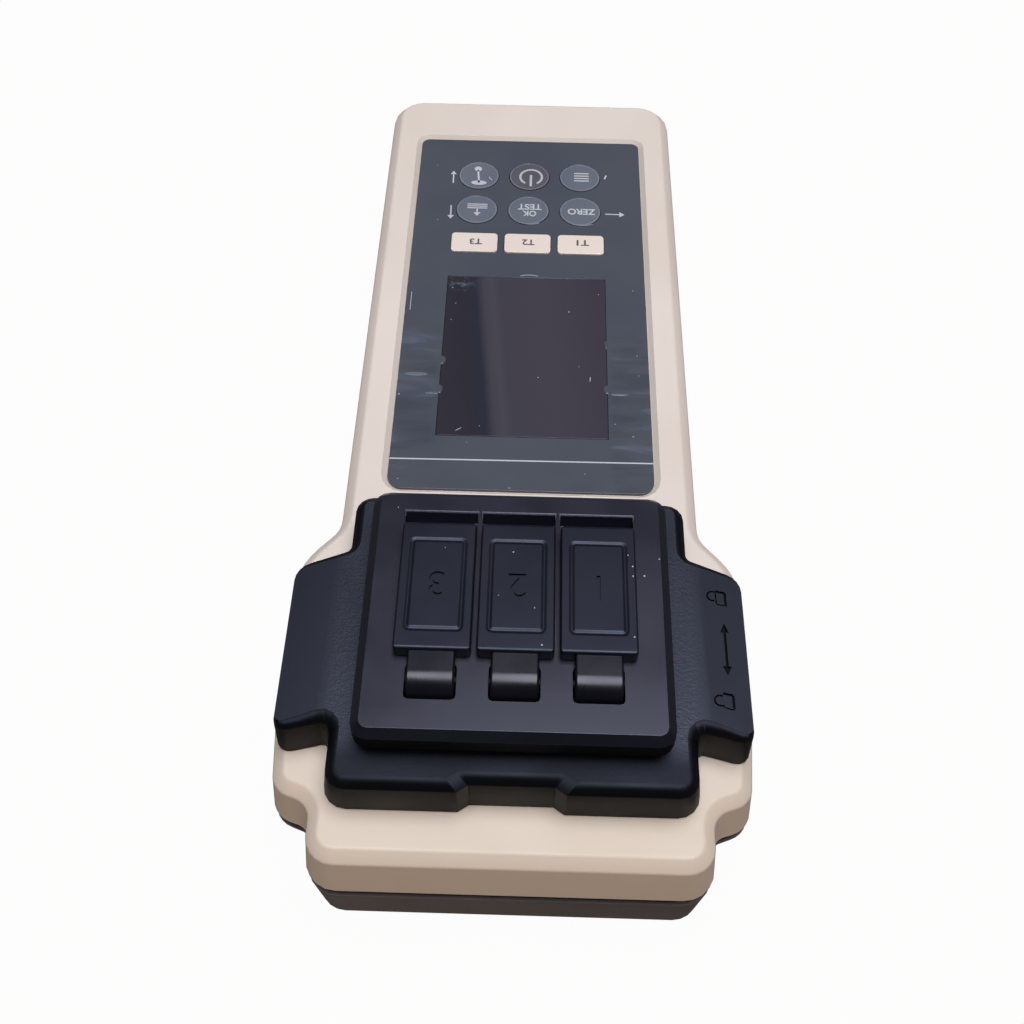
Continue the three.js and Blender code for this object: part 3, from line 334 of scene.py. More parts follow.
slate_film = printed_film("polyester_film_slate", "#4F535B", "#494E58", 0.14, 16, 0.12)
display_film = printed_film("polyester_film_over_display", "#3F3B44", "#3B3841", 0.1, 22, 0.05)
key_film = printed_film("polyester_film_key_slate", "#6C717A", "#646A76", 0.16, 6, 0.03)
key_rim_film = printed_film("polyester_film_key_outline", "#8B909A", "#7D838E", 0.18, 6, 0.02)
power_film = printed_film("polyester_film_key_brown_grey", "#626066", "#5A595F", 0.16, 6, 0.03)
bar_key_film = printed_film("polyester_film_cream", "#EFE0D4", "#E9DACE", 0.24, 8, 0.03)
white_print = printed_film("screen_print_white", "#C9CBCF", "#B9BCC2", 0.3, 5, 0.01)
grey_print = printed_film("screen_print_grey", "#6A6668", "#5E5B5F", 0.3, 5, 0.01)
dust_lint = printed_film("pale_dust_and_lint", "#A6AAB3", "#BFC3CB", 0.7, 1, 0.01)

# %% [markdown]
# Beside the display the film lies in small wrinkles that run across, from the window's edge to the
# outer edge. Each wrinkle mirrors a brighter or a darker part of the room, and these reflections are
# painted into the film's colour as dark and bright streaks. A noise stretched along X draws them, and
# two ramps keep them beside the lower half of the window.

# %% Painted reflections of the film's wrinkles
WRINKLE_FROM, WRINKLE_FULL = 18.6, 20.5
WRINKLE_TOP, WRINKLE_FADE = 24, 8
WRINKLE_LENGTH, WRINKLE_WIDTH, WRINKLE_LEAN = 22, 5, 8
tree, shader, place = opened(slate_film)
stretch = add_node(tree, "ShaderNodeMapping", {
    "Scale": (per_mm(WRINKLE_LENGTH), per_mm(WRINKLE_WIDTH), 1),
    "Rotation": (0, 0, math.radians(WRINKLE_LEAN)),
}, {"Vector": place})
painted_streak_noise = add_node(tree, "ShaderNodeTexNoise", {"Scale": 1.0, "Detail": 3.0, "Distortion": 0.6}, {
    "Vector": stretch.outputs["Vector"],
})
split = add_node(tree, "ShaderNodeSeparateXYZ", {}, {0: place})
aside = add_node(tree, "ShaderNodeMath", {"operation": "ABSOLUTE"}, {0: split.outputs["X"]})
beside = add_node(tree, "ShaderNodeMapRange", {
    "From Min": WRINKLE_FROM * MM, "From Max": WRINKLE_FULL * MM,
}, {"Value": aside.outputs["Value"]})
below = add_node(tree, "ShaderNodeMapRange", {
    "From Min": WRINKLE_TOP * MM, "From Max": (WRINKLE_TOP - WRINKLE_FADE) * MM,
}, {"Value": split.outputs["Y"]})
where = add_node(tree, "ShaderNodeMath", {"operation": "MULTIPLY"}, {
    0: beside.outputs["Result"], 1: below.outputs["Result"],
})
# Dark and bright painted reflections of the wrinkles, laid over the film's colour.
for name, ends, colour in (("dark", (0.5, 0.36), "#3A404A"), ("bright", (0.56, 0.72), "#6A7587")):
    painted_streak_share = add_node(tree, "ShaderNodeMapRange", {
        "From Min": ends[0], "From Max": ends[1], "To Max": 0.5,
    }, {"Value": painted_streak_noise.outputs["Fac"]})
    amount = add_node(tree, "ShaderNodeMath", {"operation": "MULTIPLY"}, {
        0: painted_streak_share.outputs["Result"], 1: where.outputs["Value"],
    })
    lay_over(tree, shader, amount.outputs["Value"], colour)
print("wrinkles from", WRINKLE_FROM, "mm aside, up to Y", WRINKLE_TOP)

# %% [markdown]
# The display is dark behind its film. Where the film has come loose it mirrors the room, and that
# reflection is painted into the colour as a paler upright band, with painted shade, darker and bluer,
# in the third to the left of the band. The band leans a little, so the material reads a slanted
# position across the window. The film is scuffed in one corner: a patch round that corner lets a fine
# noise through as pale marks.

# %% Painted reflection band and scuffs on the display
BAND_LEAN, WINDOW_REACH = 0.1, 20
SCUFF_PLACE, SCUFF_REACH = (-15.6, 37.2, 33.5), 4.2
tree, shader, place = opened(display_film)
slant = add_node(tree, "ShaderNodeVectorMath", {
    "operation": "DOT_PRODUCT", 1: (1 / MM, BAND_LEAN / MM, 0),
}, {0: place})
share = add_node(tree, "ShaderNodeMapRange", {"From Min": -WINDOW_REACH, "From Max": WINDOW_REACH}, {
    "Value": slant.outputs["Value"],
})
# Painted reflection: the ramp paints the loose film's reflection of the room and the shade beside it.
band = add_node(tree, "ShaderNodeValToRGB", {"stops": [
    (0.0, "#302D34"), (0.19, "#2C2A33"), (0.28, "#282A36"), (0.33, "#423F48"), (0.38, "#47444C"),
    (0.43, "#413E47"), (0.7, "#433F48"), (1.0, "#3E3942"),
]}, {"Fac": share.outputs["Result"]})
tree.links.new(band.outputs["Color"], shader.inputs["Base Color"])
nearness = add_node(tree, "ShaderNodeVectorMath", {
    "operation": "DISTANCE", 1: [p * MM for p in SCUFF_PLACE],
}, {0: place})
patch = add_node(tree, "ShaderNodeMapRange", {
    "From Min": SCUFF_REACH * MM, "From Max": 0.4 * SCUFF_REACH * MM,
}, {"Value": nearness.outputs["Value"]})
scratches = add_node(tree, "ShaderNodeTexNoise", {
    "Scale": per_mm(1.6), "Detail": 6.0, "Roughness": 0.7,
}, {"Vector": place})
worn = add_node(tree, "ShaderNodeMapRange", {"From Min": 0.5, "From Max": 0.62}, {
    "Value": scratches.outputs["Fac"],
})
scuffed = add_node(tree, "ShaderNodeMath", {"operation": "MULTIPLY"}, {
    0: patch.outputs["Result"], 1: worn.outputs["Result"],
})
lay_over(tree, shader, scuffed.outputs["Value"], "#5C6270")
print("scuffs reach", SCUFF_REACH, "mm round the display's corner")

# %% [markdown]
# ## Rubber, metal, board and the clear cuvettes
#
# What sits inside is only seen when a lid stands open or in the part's own view, yet each piece still
# gets a material of its own kind. Silicone rubber is matt with a dusty bloom. The screws and contacts
# are nickel plated steel with fine streaks along the drawn direction, and the hinge rod is blued, since
# the photograph shows nothing bright in the slots. The boards wear a green lacquer over faint copper
# tracks, and the cells a printed sleeve. The cuvettes and the lamps' bodies are clear.

# %% Recipe for rubber
def moulded_rubber(name, colour, bloom_colour):
    """Matt rubber or soft plastic with a pale, dusty bloom."""
    material, tree, shader, place = new_material(name, **{"IOR": 1.46, "Specular IOR Level": 0.25})
    dust = add_node(tree, "ShaderNodeTexNoise", {"Scale": per_mm(3), "Detail": 5.0}, {"Vector": place})
    tint = add_node(tree, "ShaderNodeValToRGB", {
        "stops": [(0.4, colour), (0.75, bloom_colour)],
    }, {"Fac": dust.outputs["Fac"]})
    tree.links.new(tint.outputs["Color"], shader.inputs["Base Color"])
    matt = add_node(tree, "ShaderNodeMapRange", {"To Min": 0.75, "To Max": 0.9}, {
        "Value": dust.outputs["Fac"],
    })
    tree.links.new(matt.outputs["Result"], shader.inputs["Roughness"])
    bump = add_node(tree, "ShaderNodeBump", {
        "Strength": 0.4, "Distance": 0.02 * MM,
    }, {"Height": dust.outputs["Fac"]})
    tree.links.new(bump.outputs["Normal"], shader.inputs["Normal"])
    return material


seal_rubber = moulded_rubber("nitrile_rubber_seal", "#0B0B0C", "#1C1C1D")
mat_rubber = moulded_rubber("silicone_rubber_key_mat", "#8C8D8F", "#9B9C9D")
ribbon_grey = moulded_rubber("pvc_flat_cable", "#80848A", "#8D9197")

# %% Recipe for plated steel and for the cells' sleeve
def drawn_metal(name, colour, bright_colour, roughness, streak=(40, 0.6, 0.6)):
    """Metal with streaks, whose lengths along X, Y and Z are given in mm."""
    material, tree, shader, place = new_material(name, **{"Metallic": 1.0})
    grain = add_node(tree, "ShaderNodeMapping", {
        "Scale": [per_mm(size) for size in streak],
    }, {"Vector": place})
    streaks = add_node(tree, "ShaderNodeTexNoise", {"Scale": 1.0, "Detail": 3.0}, {
        "Vector": grain.outputs["Vector"],
    })
    tint = add_node(tree, "ShaderNodeValToRGB", {
        "stops": [(0.3, colour), (0.7, bright_colour)],
    }, {"Fac": streaks.outputs["Fac"]})
    tree.links.new(tint.outputs["Color"], shader.inputs["Base Color"])
    gloss = add_node(tree, "ShaderNodeMapRange", {
        "To Min": roughness - 0.08, "To Max": roughness + 0.08,
    }, {"Value": streaks.outputs["Fac"]})
    tree.links.new(gloss.outputs["Result"], shader.inputs["Roughness"])
    return material


plated_steel = drawn_metal("nickel_plated_steel", "#B4B4B8", "#CFCFD2", 0.28)
blued_steel = drawn_metal("blued_steel_rod", "#121217", "#1D1D24", 0.45)
cell_sleeve = drawn_metal("printed_cell_sleeve", "#3B4A58", "#5A6A78", 0.35, (0.8, 30, 0.8))

# %% Recipe for the green boards
circuit_board, tree, shader, place = new_material(
    "green_lacquered_board", **{"IOR": 1.5, "Roughness": 0.4},
)
cells = add_node(tree, "ShaderNodeTexVoronoi", {
    "feature": "F1", "distance": "MANHATTAN", "Scale": per_mm(4),
}, {"Vector": place})
tracks = add_node(tree, "ShaderNodeValToRGB", {
    "stops": [(0.45, "#1D5A3C"), (0.55, "#2B7350")],
}, {"Fac": cells.outputs["Distance"]})
tree.links.new(tracks.outputs["Color"], shader.inputs["Base Color"])

# %% Recipe for the clear plastics
def clear_plastic(name, colour, roughness, ior):
    """Clear moulding: light passes through, and a faint flow noise keeps its gloss from being perfect."""
    material, tree, shader, place = new_material(name, **{"IOR": ior, "Transmission Weight": 1.0})
    flow = add_node(tree, "ShaderNodeTexNoise", {"Scale": per_mm(6), "Detail": 2.0}, {"Vector": place})
    tint = add_node(tree, "ShaderNodeValToRGB", {
        "stops": [(0.3, colour), (0.7, "#F6FAFA")],
    }, {"Fac": flow.outputs["Fac"]})
    tree.links.new(tint.outputs["Color"], shader.inputs["Base Color"])
    gloss = add_node(tree, "ShaderNodeMapRange", {
        "To Min": roughness, "To Max": roughness + 0.05,
    }, {"Value": flow.outputs["Fac"]})
    tree.links.new(gloss.outputs["Result"], shader.inputs["Roughness"])
    return material


clear_acrylic = clear_plastic("acrylic_polished_clear", "#EEF6F6", 0.03, 1.49)
led_epoxy = clear_plastic("epoxy_led_body", "#F2E8C4", 0.05, 1.55)

# %% Give every CAD node its material
CAD_FINISH = {
    cream_abs: ["upper_shell"],
    dark_abs: ["lower_shell", "battery_cover"],
    black_abs: ["module_body"],
    plate_abs: ["lid_plate"],
    lid_abs: ["lid_1", "lid_2", "lid_3"],
    inner_abs: ["optical_tub", "display_module", "buzzer", "photodiode_1", "photodiode_2", "photodiode_3"],
    slate_film: ["panel_foil"],
    display_film: ["display_window"],
    key_film: [f"key_{row}_{column}" for row in ("near", "far") for column in ("left", "middle", "right")],
    bar_key_film: ["key_t1", "key_t2", "key_t3"],
    seal_rubber: ["shell_seal", "battery_cover_seal", "lid_seal_1", "lid_seal_2", "lid_seal_3"],
    mat_rubber: ["key_mat"],
    ribbon_grey: ["ribbon_cable"],
    blued_steel: ["hinge_rod"],
    plated_steel: ["contact_near", "contact_far", "cover_screw_1", "cover_screw_2"]
    + [f"housing_screw_{number}" for number in range(1, 7)],
    cell_sleeve: ["battery_1", "battery_2", "battery_3"],
    circuit_board: ["main_board", "led_board", "sensor_board"],
    clear_acrylic: ["cuvette_1", "cuvette_2", "cuvette_3"],
    led_epoxy: ["led_1", "led_2", "led_3"],
}
for material, names in CAD_FINISH.items():
    for name in names:
        frame["nodes"][name].data.materials.clear()
        frame["nodes"][name].data.materials.append(material)
finished = {name for names in CAD_FINISH.values() for name in names}
print("CAD nodes without a finish:", sorted(set(frame["nodes"]) - finished))

# %% [markdown]
# ## Modelling by selection
#
# In Blender's window a modeller clicks faces and edges. A script has no mouse, so it selects them by
# what they are: a face that looks up, an edge that stands upright, a vertex at a height. These
# helpers leave just one object selected, add a primitive at its real size and place, and select parts
# of it by a test. Sizes and places go straight into the mesh, so that every finished piece's object
# sits unturned and unscaled at the origin.

# %% Helpers for modelling
def alone(piece):
    """Goes to object mode and leaves this piece as the only selected and active object."""
    if bpy.context.object and bpy.context.object.mode != "OBJECT":
        bpy.ops.object.mode_set(mode="OBJECT")
    bpy.ops.object.select_all(action="DESELECT")
    piece.select_set(True)
    bpy.context.view_layer.objects.active = piece
    return piece


def edit(piece):
    """Goes to edit mode on this piece alone."""
    alone(piece)
    bpy.ops.object.mode_set(mode="EDIT")
    return piece


def settle(piece, name):
    """Names the piece and puts its place, turn and scale into its mesh."""
    alone(piece)
    piece.name = piece.data.name = name
    bpy.ops.object.transform_apply(location=True, rotation=True, scale=True)
    return piece


def start(shape, name, centre, extent, **options):
    """A primitive with this centre and extent, in mm."""
    bpy.ops.object.select_all(action="DESELECT")
    add = getattr(bpy.ops.mesh, f"primitive_{shape}_add")
    add(location=[c * MM for c in centre], **options)
    piece = bpy.context.active_object
    piece.scale = [e * MM for e in extent]
    return settle(piece, name)


def block(name, centre, size, **options):
    """A cube stretched to this size, in mm."""
    return start("cube", name, centre, size, size=1, **options)


def disc(name, centre, radii, height, corners=48, **options):
    """An upright round block with these two radii, in mm. With three corners it is a triangle."""
    return start("cylinder", name, centre, (*radii, height), vertices=corners, radius=1, depth=1, **options)


def middle(part):
    """The middle of a face, an edge or a vertex, in mm."""
    points = [part.co] if isinstance(part, bmesh.types.BMVert) else [v.co for v in part.verts]
    return sum(points, Vector()) / len(points) / MM


def pick(kind, test):
    """Selects just the parts that pass the test. kind is VERT, EDGE or FACE. Needs edit mode."""
    bpy.ops.mesh.select_mode(type=kind)
    bpy.ops.mesh.select_all(action="DESELECT")
    shape = bmesh.from_edit_mesh(bpy.context.edit_object.data)
    parts = {"VERT": shape.verts, "EDGE": shape.edges, "FACE": shape.faces}[kind]
    chosen = [part for part in parts if test(part)]
    for part in chosen:
        part.select_set(True)
    shape.select_flush_mode()
    bmesh.update_edit_mesh(bpy.context.edit_object.data)
    return len(chosen)


def upright(edge):
    """True for an edge that stands along Z."""
    run = edge.verts[1].co - edge.verts[0].co
    return abs(run.z) > 0.99 * run.length


def on_rim(top):
    """A test for the edges where a flat top at this height, in mm, meets a wall."""
    return lambda edge: middle(edge).z > top - 0.01 and min(f.normal.z for f in edge.link_faces) < 0.1


def pull(*run):
    """Extrudes what is selected along this run, in mm."""
    bpy.ops.mesh.extrude_region_move(TRANSFORM_OT_translate={"value": [r * MM for r in run]})


def turn_outwards(merge=0):
    """Merges all corners that lie within so many mm, and makes every face look outwards."""
    bpy.ops.mesh.select_all(action="SELECT")
    if merge:
        bpy.ops.mesh.remove_doubles(threshold=merge * MM)
    bpy.ops.mesh.normals_make_consistent(inside=False)


def apply_modifier(piece, kind, **settings):
    """Adds a modifier, sets it and applies it."""
    alone(piece)
    bpy.ops.object.modifier_add(type=kind)
    modifier = piece.modifiers[-1]
    for key, value in settings.items():
        setattr(modifier, key, value)
    bpy.ops.object.modifier_apply(modifier=modifier.name)
    return piece


def cut(piece, tool):
    """Takes the tool's volume out of the piece, and removes the tool."""
    apply_modifier(piece, "BOOLEAN", operation="DIFFERENCE", solver="EXACT", object=tool)
    bpy.data.objects.remove(tool)
    return piece


def twin(piece, name, shift=(0, 0, 0)):
    """A copy with its own mesh, moved by a shift in mm."""
    alone(piece)
    bpy.ops.object.duplicate()
    copy = bpy.context.active_object
    copy.location = [s * MM for s in shift]
    return settle(copy, name)


def weld(pieces, name):
    """Joins several pieces into one object."""
    alone(pieces[0])
    for piece in pieces[1:]:
        piece.select_set(True)
    bpy.ops.object.join()
    return settle(bpy.context.active_object, name)


def dress(piece, material, body, replaces=(), smooth=50):
    """Shades the piece with its large faces flat, gives it its material and hangs it on its body."""
    alone(piece)
    bpy.ops.object.shade_smooth_by_angle(angle=math.radians(smooth))
    apply_modifier(piece, "WEIGHTED_NORMAL", keep_sharp=True, weight=90)
    if not piece.data.materials:
        piece.data.materials.append(material)
    piece.data.materials[0] = material
    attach(piece, body)
    if replaces:
        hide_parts(*replaces)
    return piece


def open_edges(piece):
    """How many edges don't join exactly two faces, which a closed piece has none of."""
    shape = bmesh.new()
    shape.from_mesh(piece.data)
    count = sum(1 for edge in shape.edges if len(edge.link_faces) != 2)
    shape.free()
    return count


# %% [markdown]
# ## The lids
#
# Each lid is a flat cap of about 14 by 27 mm. Its top has a soft edge and a rounded groove that
# frames a panel with the lid's number sunk into it, and a plug below closes the cuvette. Lids 1 to 3
# differ only in the number, so the cap is made once. It starts as a cube: the top face is inset to
# the frame's size, its corners are rounded, and a run of small insets with a depth makes the valley
# of the groove. The outer edges are bevelled last, because a bevel that came first would be squeezed
# by the insets.

# %% Lid cap
LID_THICKNESS, LID_CORNER, LID_EDGE = 2.7, 0.8, 0.45
FRAME_SIDE, FRAME_END, FRAME_CORNER = 1.4, 3.4, 1.3
GROOVE = [
    (0.10, -0.010), (0.15, -0.050), (0.17, -0.095), (0.20, -0.065),
    (0.20, 0.065), (0.17, 0.095), (0.15, 0.050), (0.10, 0.010),
]
PIVOT_TO_LID = 3.8

hinge_place = {j["child"]: Vector(j["pos_m"]) / MM for j in frame["joints"] if j["type"] == "hinge"}
low, high = (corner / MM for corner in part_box("lid_2"))
axis = hinge_place["lid_2"]
lid_near, lid_far, lid_top = axis.y + PIVOT_TO_LID, high.y, high.z
lid_width, lid_length = high.x - low.x, lid_far - lid_near
lid_middle = Vector(((low.x + high.x) / 2, (lid_near + lid_far) / 2, lid_top - LID_THICKNESS / 2))

cap = block("lid_cap", lid_middle, (lid_width, lid_length, LID_THICKNESS))
edit(cap)
pick("FACE", lambda face: face.normal.z > 0.9)
bpy.ops.mesh.inset(thickness=FRAME_SIDE * MM)
shrink = (lid_length - 2 * FRAME_END) / (lid_length - 2 * FRAME_SIDE)
bpy.ops.transform.resize(value=(1, shrink, 1), center_override=lid_middle * MM)
bpy.ops.mesh.bevel(affect="VERTICES", offset=FRAME_CORNER * MM, segments=5)
pick("FACE", lambda face: face.normal.z > 0.9 and (middle(face) - lid_middle).xy.length < 0.5)
for width, depth in GROOVE:
    bpy.ops.mesh.inset(thickness=width * MM, depth=depth * MM)
pick("EDGE", lambda edge: upright(edge) and edge.calc_length() > 2 * MM)
bpy.ops.mesh.bevel(offset=LID_CORNER * MM, segments=5)
pick("EDGE", on_rim(lid_top))
bpy.ops.mesh.bevel(offset=LID_EDGE * MM, segments=4)
alone(cap)
print(f"lid cap {lid_width:.1f} x {lid_length:.1f} mm, groove {sum(w for w, _ in GROOVE):.2f} mm wide")

# %% [markdown]
# The strap that the cap hangs on leaves its near edge, turns down through a slot in the plate and
# hooks round a hidden rod. That is a flat band swept round an axis, which is what Spin does: a small
# rectangle is spun about the hinge, its first face is pulled forward into the cap, and the band's
# long edges are rounded. Spin can leave the faces looking inwards, so the normals are recalculated.

# %% Strap and plug
STRAP_INNER, STRAP_OUTER, STRAP_TURN = 2.0, 4.0, 118
STRAP_SIDE, STRAP_ROUND, STRAP_STEPS = 2.65, 0.42, 20
PLUG_SIDE, PLUG_END, PLUG_DEPTH, PLUG_SHIFT = 2.05, 2.525, 3.1, -0.15
MERGE = 0.001

strap_width = lid_width - 2 * STRAP_SIDE
section = (strap_width, STRAP_OUTER - STRAP_INNER, 1)
strap = start(
    "plane", "strap", (axis.x, axis.y, axis.z + (STRAP_INNER + STRAP_OUTER) / 2), section,
    size=1, rotation=(math.radians(90), 0, 0),
)
edit(strap)
bpy.ops.mesh.select_all(action="SELECT")
bpy.ops.mesh.spin(steps=STRAP_STEPS, angle=-math.radians(STRAP_TURN), center=axis * MM, axis=(1, 0, 0))
turn_outwards(MERGE)
pick("FACE", lambda face: face.normal.y > 0.9 and middle(face).z > axis.z)
pull(0, PIVOT_TO_LID + LID_CORNER, 0)


def on_outer_side(edge):
    """True for an edge that runs along the strap where its outer face meets a side."""
    along_strap = abs(edge.verts[0].co.x - edge.verts[1].co.x) < 1e-6
    outside = min((v.co.yz / MM - axis.yz).length for v in edge.verts) > STRAP_INNER + 0.1
    return along_strap and outside and all(
        abs(face.normal.x) > 0.9 or face.normal.dot(Vector((0, *(middle(face) - axis).yz)).normalized()) > 0.3
        for face in edge.link_faces
    )


pick("EDGE", on_outer_side)
bpy.ops.mesh.bevel(offset=STRAP_ROUND * MM, segments=3)
print("open edges on the strap:", open_edges(alone(strap)))

plug_size = (lid_width - 2 * PLUG_SIDE, lid_length - 2 * PLUG_END, PLUG_DEPTH)
plug_middle = (lid_middle.x, lid_middle.y + PLUG_SHIFT, lid_top - LID_THICKNESS + 0.05 - PLUG_DEPTH / 2)
plug = block("plug", plug_middle, plug_size)
edit(plug)
pick("EDGE", upright)
bpy.ops.mesh.bevel(offset=0.3 * MM, segments=3)
pick("FACE", lambda face: face.normal.z < -0.9)
bpy.ops.mesh.region_to_loop()
bpy.ops.mesh.bevel(offset=0.25 * MM, segments=2)
print("plug below the cap reaches", PLUG_DEPTH, "mm down")

# %% [markdown]
# The number is sunk almost half a millimetre into the panel and reads from the keypad's side. A text
# object is given a thickness, made a mesh and taken out of the cap with a Boolean, which leaves crisp
# walls. They get the matt black of painted shade, so that the number shows as dark lines.

# %% Numbers and the three lids
DIGIT_HEIGHT, DIGIT_DEPTH, DIGIT_REACH = 5.2, 0.45, 3.4


def lettering(words, height, centre, half_thickness, bolder=0):
    """Lettering of this height in mm as a mesh, read from the keypad's side, standing out both ways."""
    bpy.ops.object.select_all(action="DESELECT")
    bpy.ops.object.text_add(location=[c * MM for c in centre], rotation=(0, 0, math.pi))
    text = bpy.context.active_object
    text.data.body = words
    text.data.align_x, text.data.align_y = "CENTER", "CENTER"
    bpy.context.view_layer.update()
    size = height * MM / text.dimensions.y
    text.data.size = size
    text.data.extrude, text.data.offset = half_thickness * MM, bolder * MM
    bpy.ops.object.convert(target="MESH")
    text = settle(bpy.context.active_object, "lettering")
    edit(text)
    turn_outwards(MERGE)
    return alone(text)


for number in (1, 2, 3):
    name = f"lid_{number}"
    shift = hinge_place[name] - axis
    lid = twin(cap, f"{name}_cap", shift)
    place = (lid_middle.x + shift.x, lid_middle.y + 0.2, lid_top)
    digit = lettering(str(number), DIGIT_HEIGHT, place, DIGIT_DEPTH)
    cut(lid, digit)
    lid = weld([lid, twin(plug, "plug", shift)], f"{name}_cap")
    dress(lid, lid_abs, name, [name])
    lid.data.materials.append(painted_shade_abs)
    # The number's walls get the matt black of painted shade.
    for face in lid.data.polygons:
        wall = abs(face.normal.z) < 0.3 and 0.05 < lid_top - face.center.z / MM < DIGIT_DEPTH
        face.material_index = int(wall and (face.center.xy / MM - Vector(place[:2])).length < DIGIT_REACH)
    dress(twin(strap, f"{name}_strap", shift), strap_abs, name)
    print(name, "faces:", len(lid.data.polygons), "open edges:", open_edges(lid))
for pattern in (cap, plug, strap):
    bpy.data.objects.remove(pattern)

# %% [markdown]
# ## The keys
#
# The six round keys are one moulded cap each, with a flange below that keeps it in the housing and a
# low dome above. A circle is filled, raised as a flange, inset and raised again, and the dome is a
# run of insets whose depths follow a parabola. The ring at its edge keeps a second material, because
# the film over each key is printed with a paler outline. The bar keys start from a cube.

# %% Round keys
KEY_RADIUS, KEY_FLANGE, FLANGE_THICKNESS, KEY_CORNERS = 5.15, 0.8, 0.8, 56
DOME = 0.35
DOME_SHARES = [1, 0.965, 0.93, 0.86, 0.76, 0.62, 0.44, 0.22]
OUTLINE_SHARES = (0.91, 0.97)

low, high = (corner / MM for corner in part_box("key_near_middle"))
key_place = (low + high) / 2
flange_reach = KEY_RADIUS + KEY_FLANGE
key_cap = start(
    "circle", "key_cap", (key_place.x, key_place.y, low.z), (flange_reach, flange_reach, 1),
    vertices=KEY_CORNERS, radius=1, fill_type="NGON",
)
edit(key_cap)
bpy.ops.mesh.select_all(action="SELECT")
pull(0, 0, FLANGE_THICKNESS)
bpy.ops.mesh.inset(thickness=KEY_FLANGE * MM)
pull(0, 0, high.z - DOME - low.z - FLANGE_THICKNESS)
for outer, inner in zip(DOME_SHARES, DOME_SHARES[1:]):
    bpy.ops.mesh.inset(
        thickness=KEY_RADIUS * (outer - inner) * MM, depth=DOME * (outer ** 2 - inner ** 2) * MM,
    )
turn_outwards()
alone(key_cap)
key_cap.data.materials.append(key_film)
key_cap.data.materials.append(key_rim_film)
for face in key_cap.data.polygons:
    reach = (face.center.xy / MM - key_place.xy).length
    on_dome = face.center.z / MM > high.z - DOME and face.normal.z > 0.5
    face.material_index = int(on_dome and OUTLINE_SHARES[0] < reach / KEY_RADIUS < OUTLINE_SHARES[1])
print("key cap faces:", len(key_cap.data.polygons), "open edges:", open_edges(key_cap))

for row in ("near", "far"):
    for column in ("left", "middle", "right"):
        name = f"key_{row}_{column}"
        low, high = (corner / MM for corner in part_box(name))
        place = (low + high) / 2 - key_place
        face_film = power_film if name == "key_far_middle" else key_film
        dress(twin(key_cap, f"{name}_cap", (place.x, place.y, 0)), face_film, name, [name])
bpy.data.objects.remove(key_cap)

# %% Bar keys
BAR_SIZE = (11.5, 6.7)
BAR_CORNER, BAR_EDGE = 1.0, 0.22

low, high = (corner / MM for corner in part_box("key_t2"))
bar_place = (low + high) / 2
bar = block("bar_cap", bar_place, (*BAR_SIZE, high.z - low.z))
edit(bar)
pick("EDGE", upright)
bpy.ops.mesh.bevel(offset=BAR_CORNER * MM, segments=6)
pick("FACE", lambda face: face.normal.z > 0.9)
bpy.ops.mesh.region_to_loop()
bpy.ops.mesh.bevel(offset=BAR_EDGE * MM, segments=3)
alone(bar)
for label in ("t1", "t2", "t3"):
    low, high = (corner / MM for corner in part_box(f"key_{label}"))
    place = (low + high) / 2 - bar_place
    dress(twin(bar, f"key_{label}_cap", place), bar_key_film, f"key_{label}", [f"key_{label}"])
print("bar keys are", BAR_SIZE, "mm")
bpy.data.objects.remove(bar)

# %% [markdown]
# ## The panel film and the display window
#
# The film is a 0.6 mm sheet with round corners, larger at the head's end. A plane gets its corners
# from a vertex bevel, is raised to its thickness, and loses the holes for keys and display in one
# Boolean. The window is a second, smaller plane in the largest hole.

# %% Panel film
FILM_NEAR_CORNER, FILM_FAR_CORNER, FILM_EDGE = 3.45, 2.05, 0.12
KEY_ROOM, WINDOW_ROOM = 0.12, 0.08
TOOL_HEIGHT = 8
WINDOW_CORNER, WINDOW_EDGE = 0.3, 0.08


def raised_sheet(name, node_name, near_corner, far_corner):
    """A sheet that fills a CAD node's box, with round corners at its near and far end."""
    low, high = (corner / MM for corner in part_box(node_name))
    size, centre = high - low, (low + high) / 2
    sheet = start("plane", name, (centre.x, centre.y, low.z), (size.x, size.y, 1), size=1)
    edit(sheet)
    for corner, side in ((near_corner, -1), (far_corner, 1)):
        pick("VERT", lambda v: side * (v.co.y / MM - centre.y) > size.y / 2 - 0.01)
        bpy.ops.mesh.bevel(affect="VERTICES", offset=corner * MM, segments=10)
    bpy.ops.mesh.select_all(action="SELECT")
    pull(0, 0, size.z)
    turn_outwards()
    return alone(sheet)


film = raised_sheet("panel_film", "panel_foil", FILM_NEAR_CORNER, FILM_FAR_CORNER)
tools = []
for name in frame["nodes"]:
    if name.startswith("key_") and name != "key_mat":
        low, high = (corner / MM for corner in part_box(name))
        place = (low + high) / 2
        if "_t" in name:
            tool = block("tool", place, (*(side + 2 * KEY_ROOM for side in BAR_SIZE), TOOL_HEIGHT))
            edit(tool)
            pick("EDGE", upright)
            bpy.ops.mesh.bevel(offset=(BAR_CORNER + KEY_ROOM) * MM, segments=6)
            alone(tool)
        else:
            reach = KEY_RADIUS + KEY_ROOM
            tool = disc("tool", place, (reach, reach), TOOL_HEIGHT, KEY_CORNERS)
        tools.append(tool)
low, high = (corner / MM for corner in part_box("display_window"))
window_size = high - low + Vector((2 * WINDOW_ROOM, 2 * WINDOW_ROOM, TOOL_HEIGHT))
tools.append(block("tool", (low + high) / 2, window_size))
cut(film, weld(tools, "film_tool"))
film_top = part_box("panel_foil")[1].z / MM
edit(film)
pick("EDGE", on_rim(film_top))
bpy.ops.mesh.bevel(offset=FILM_EDGE * MM, segments=2)
dress(film, slate_film, "housing", ["panel_foil"])
print("film faces:", len(film.data.polygons), "open edges:", open_edges(film))

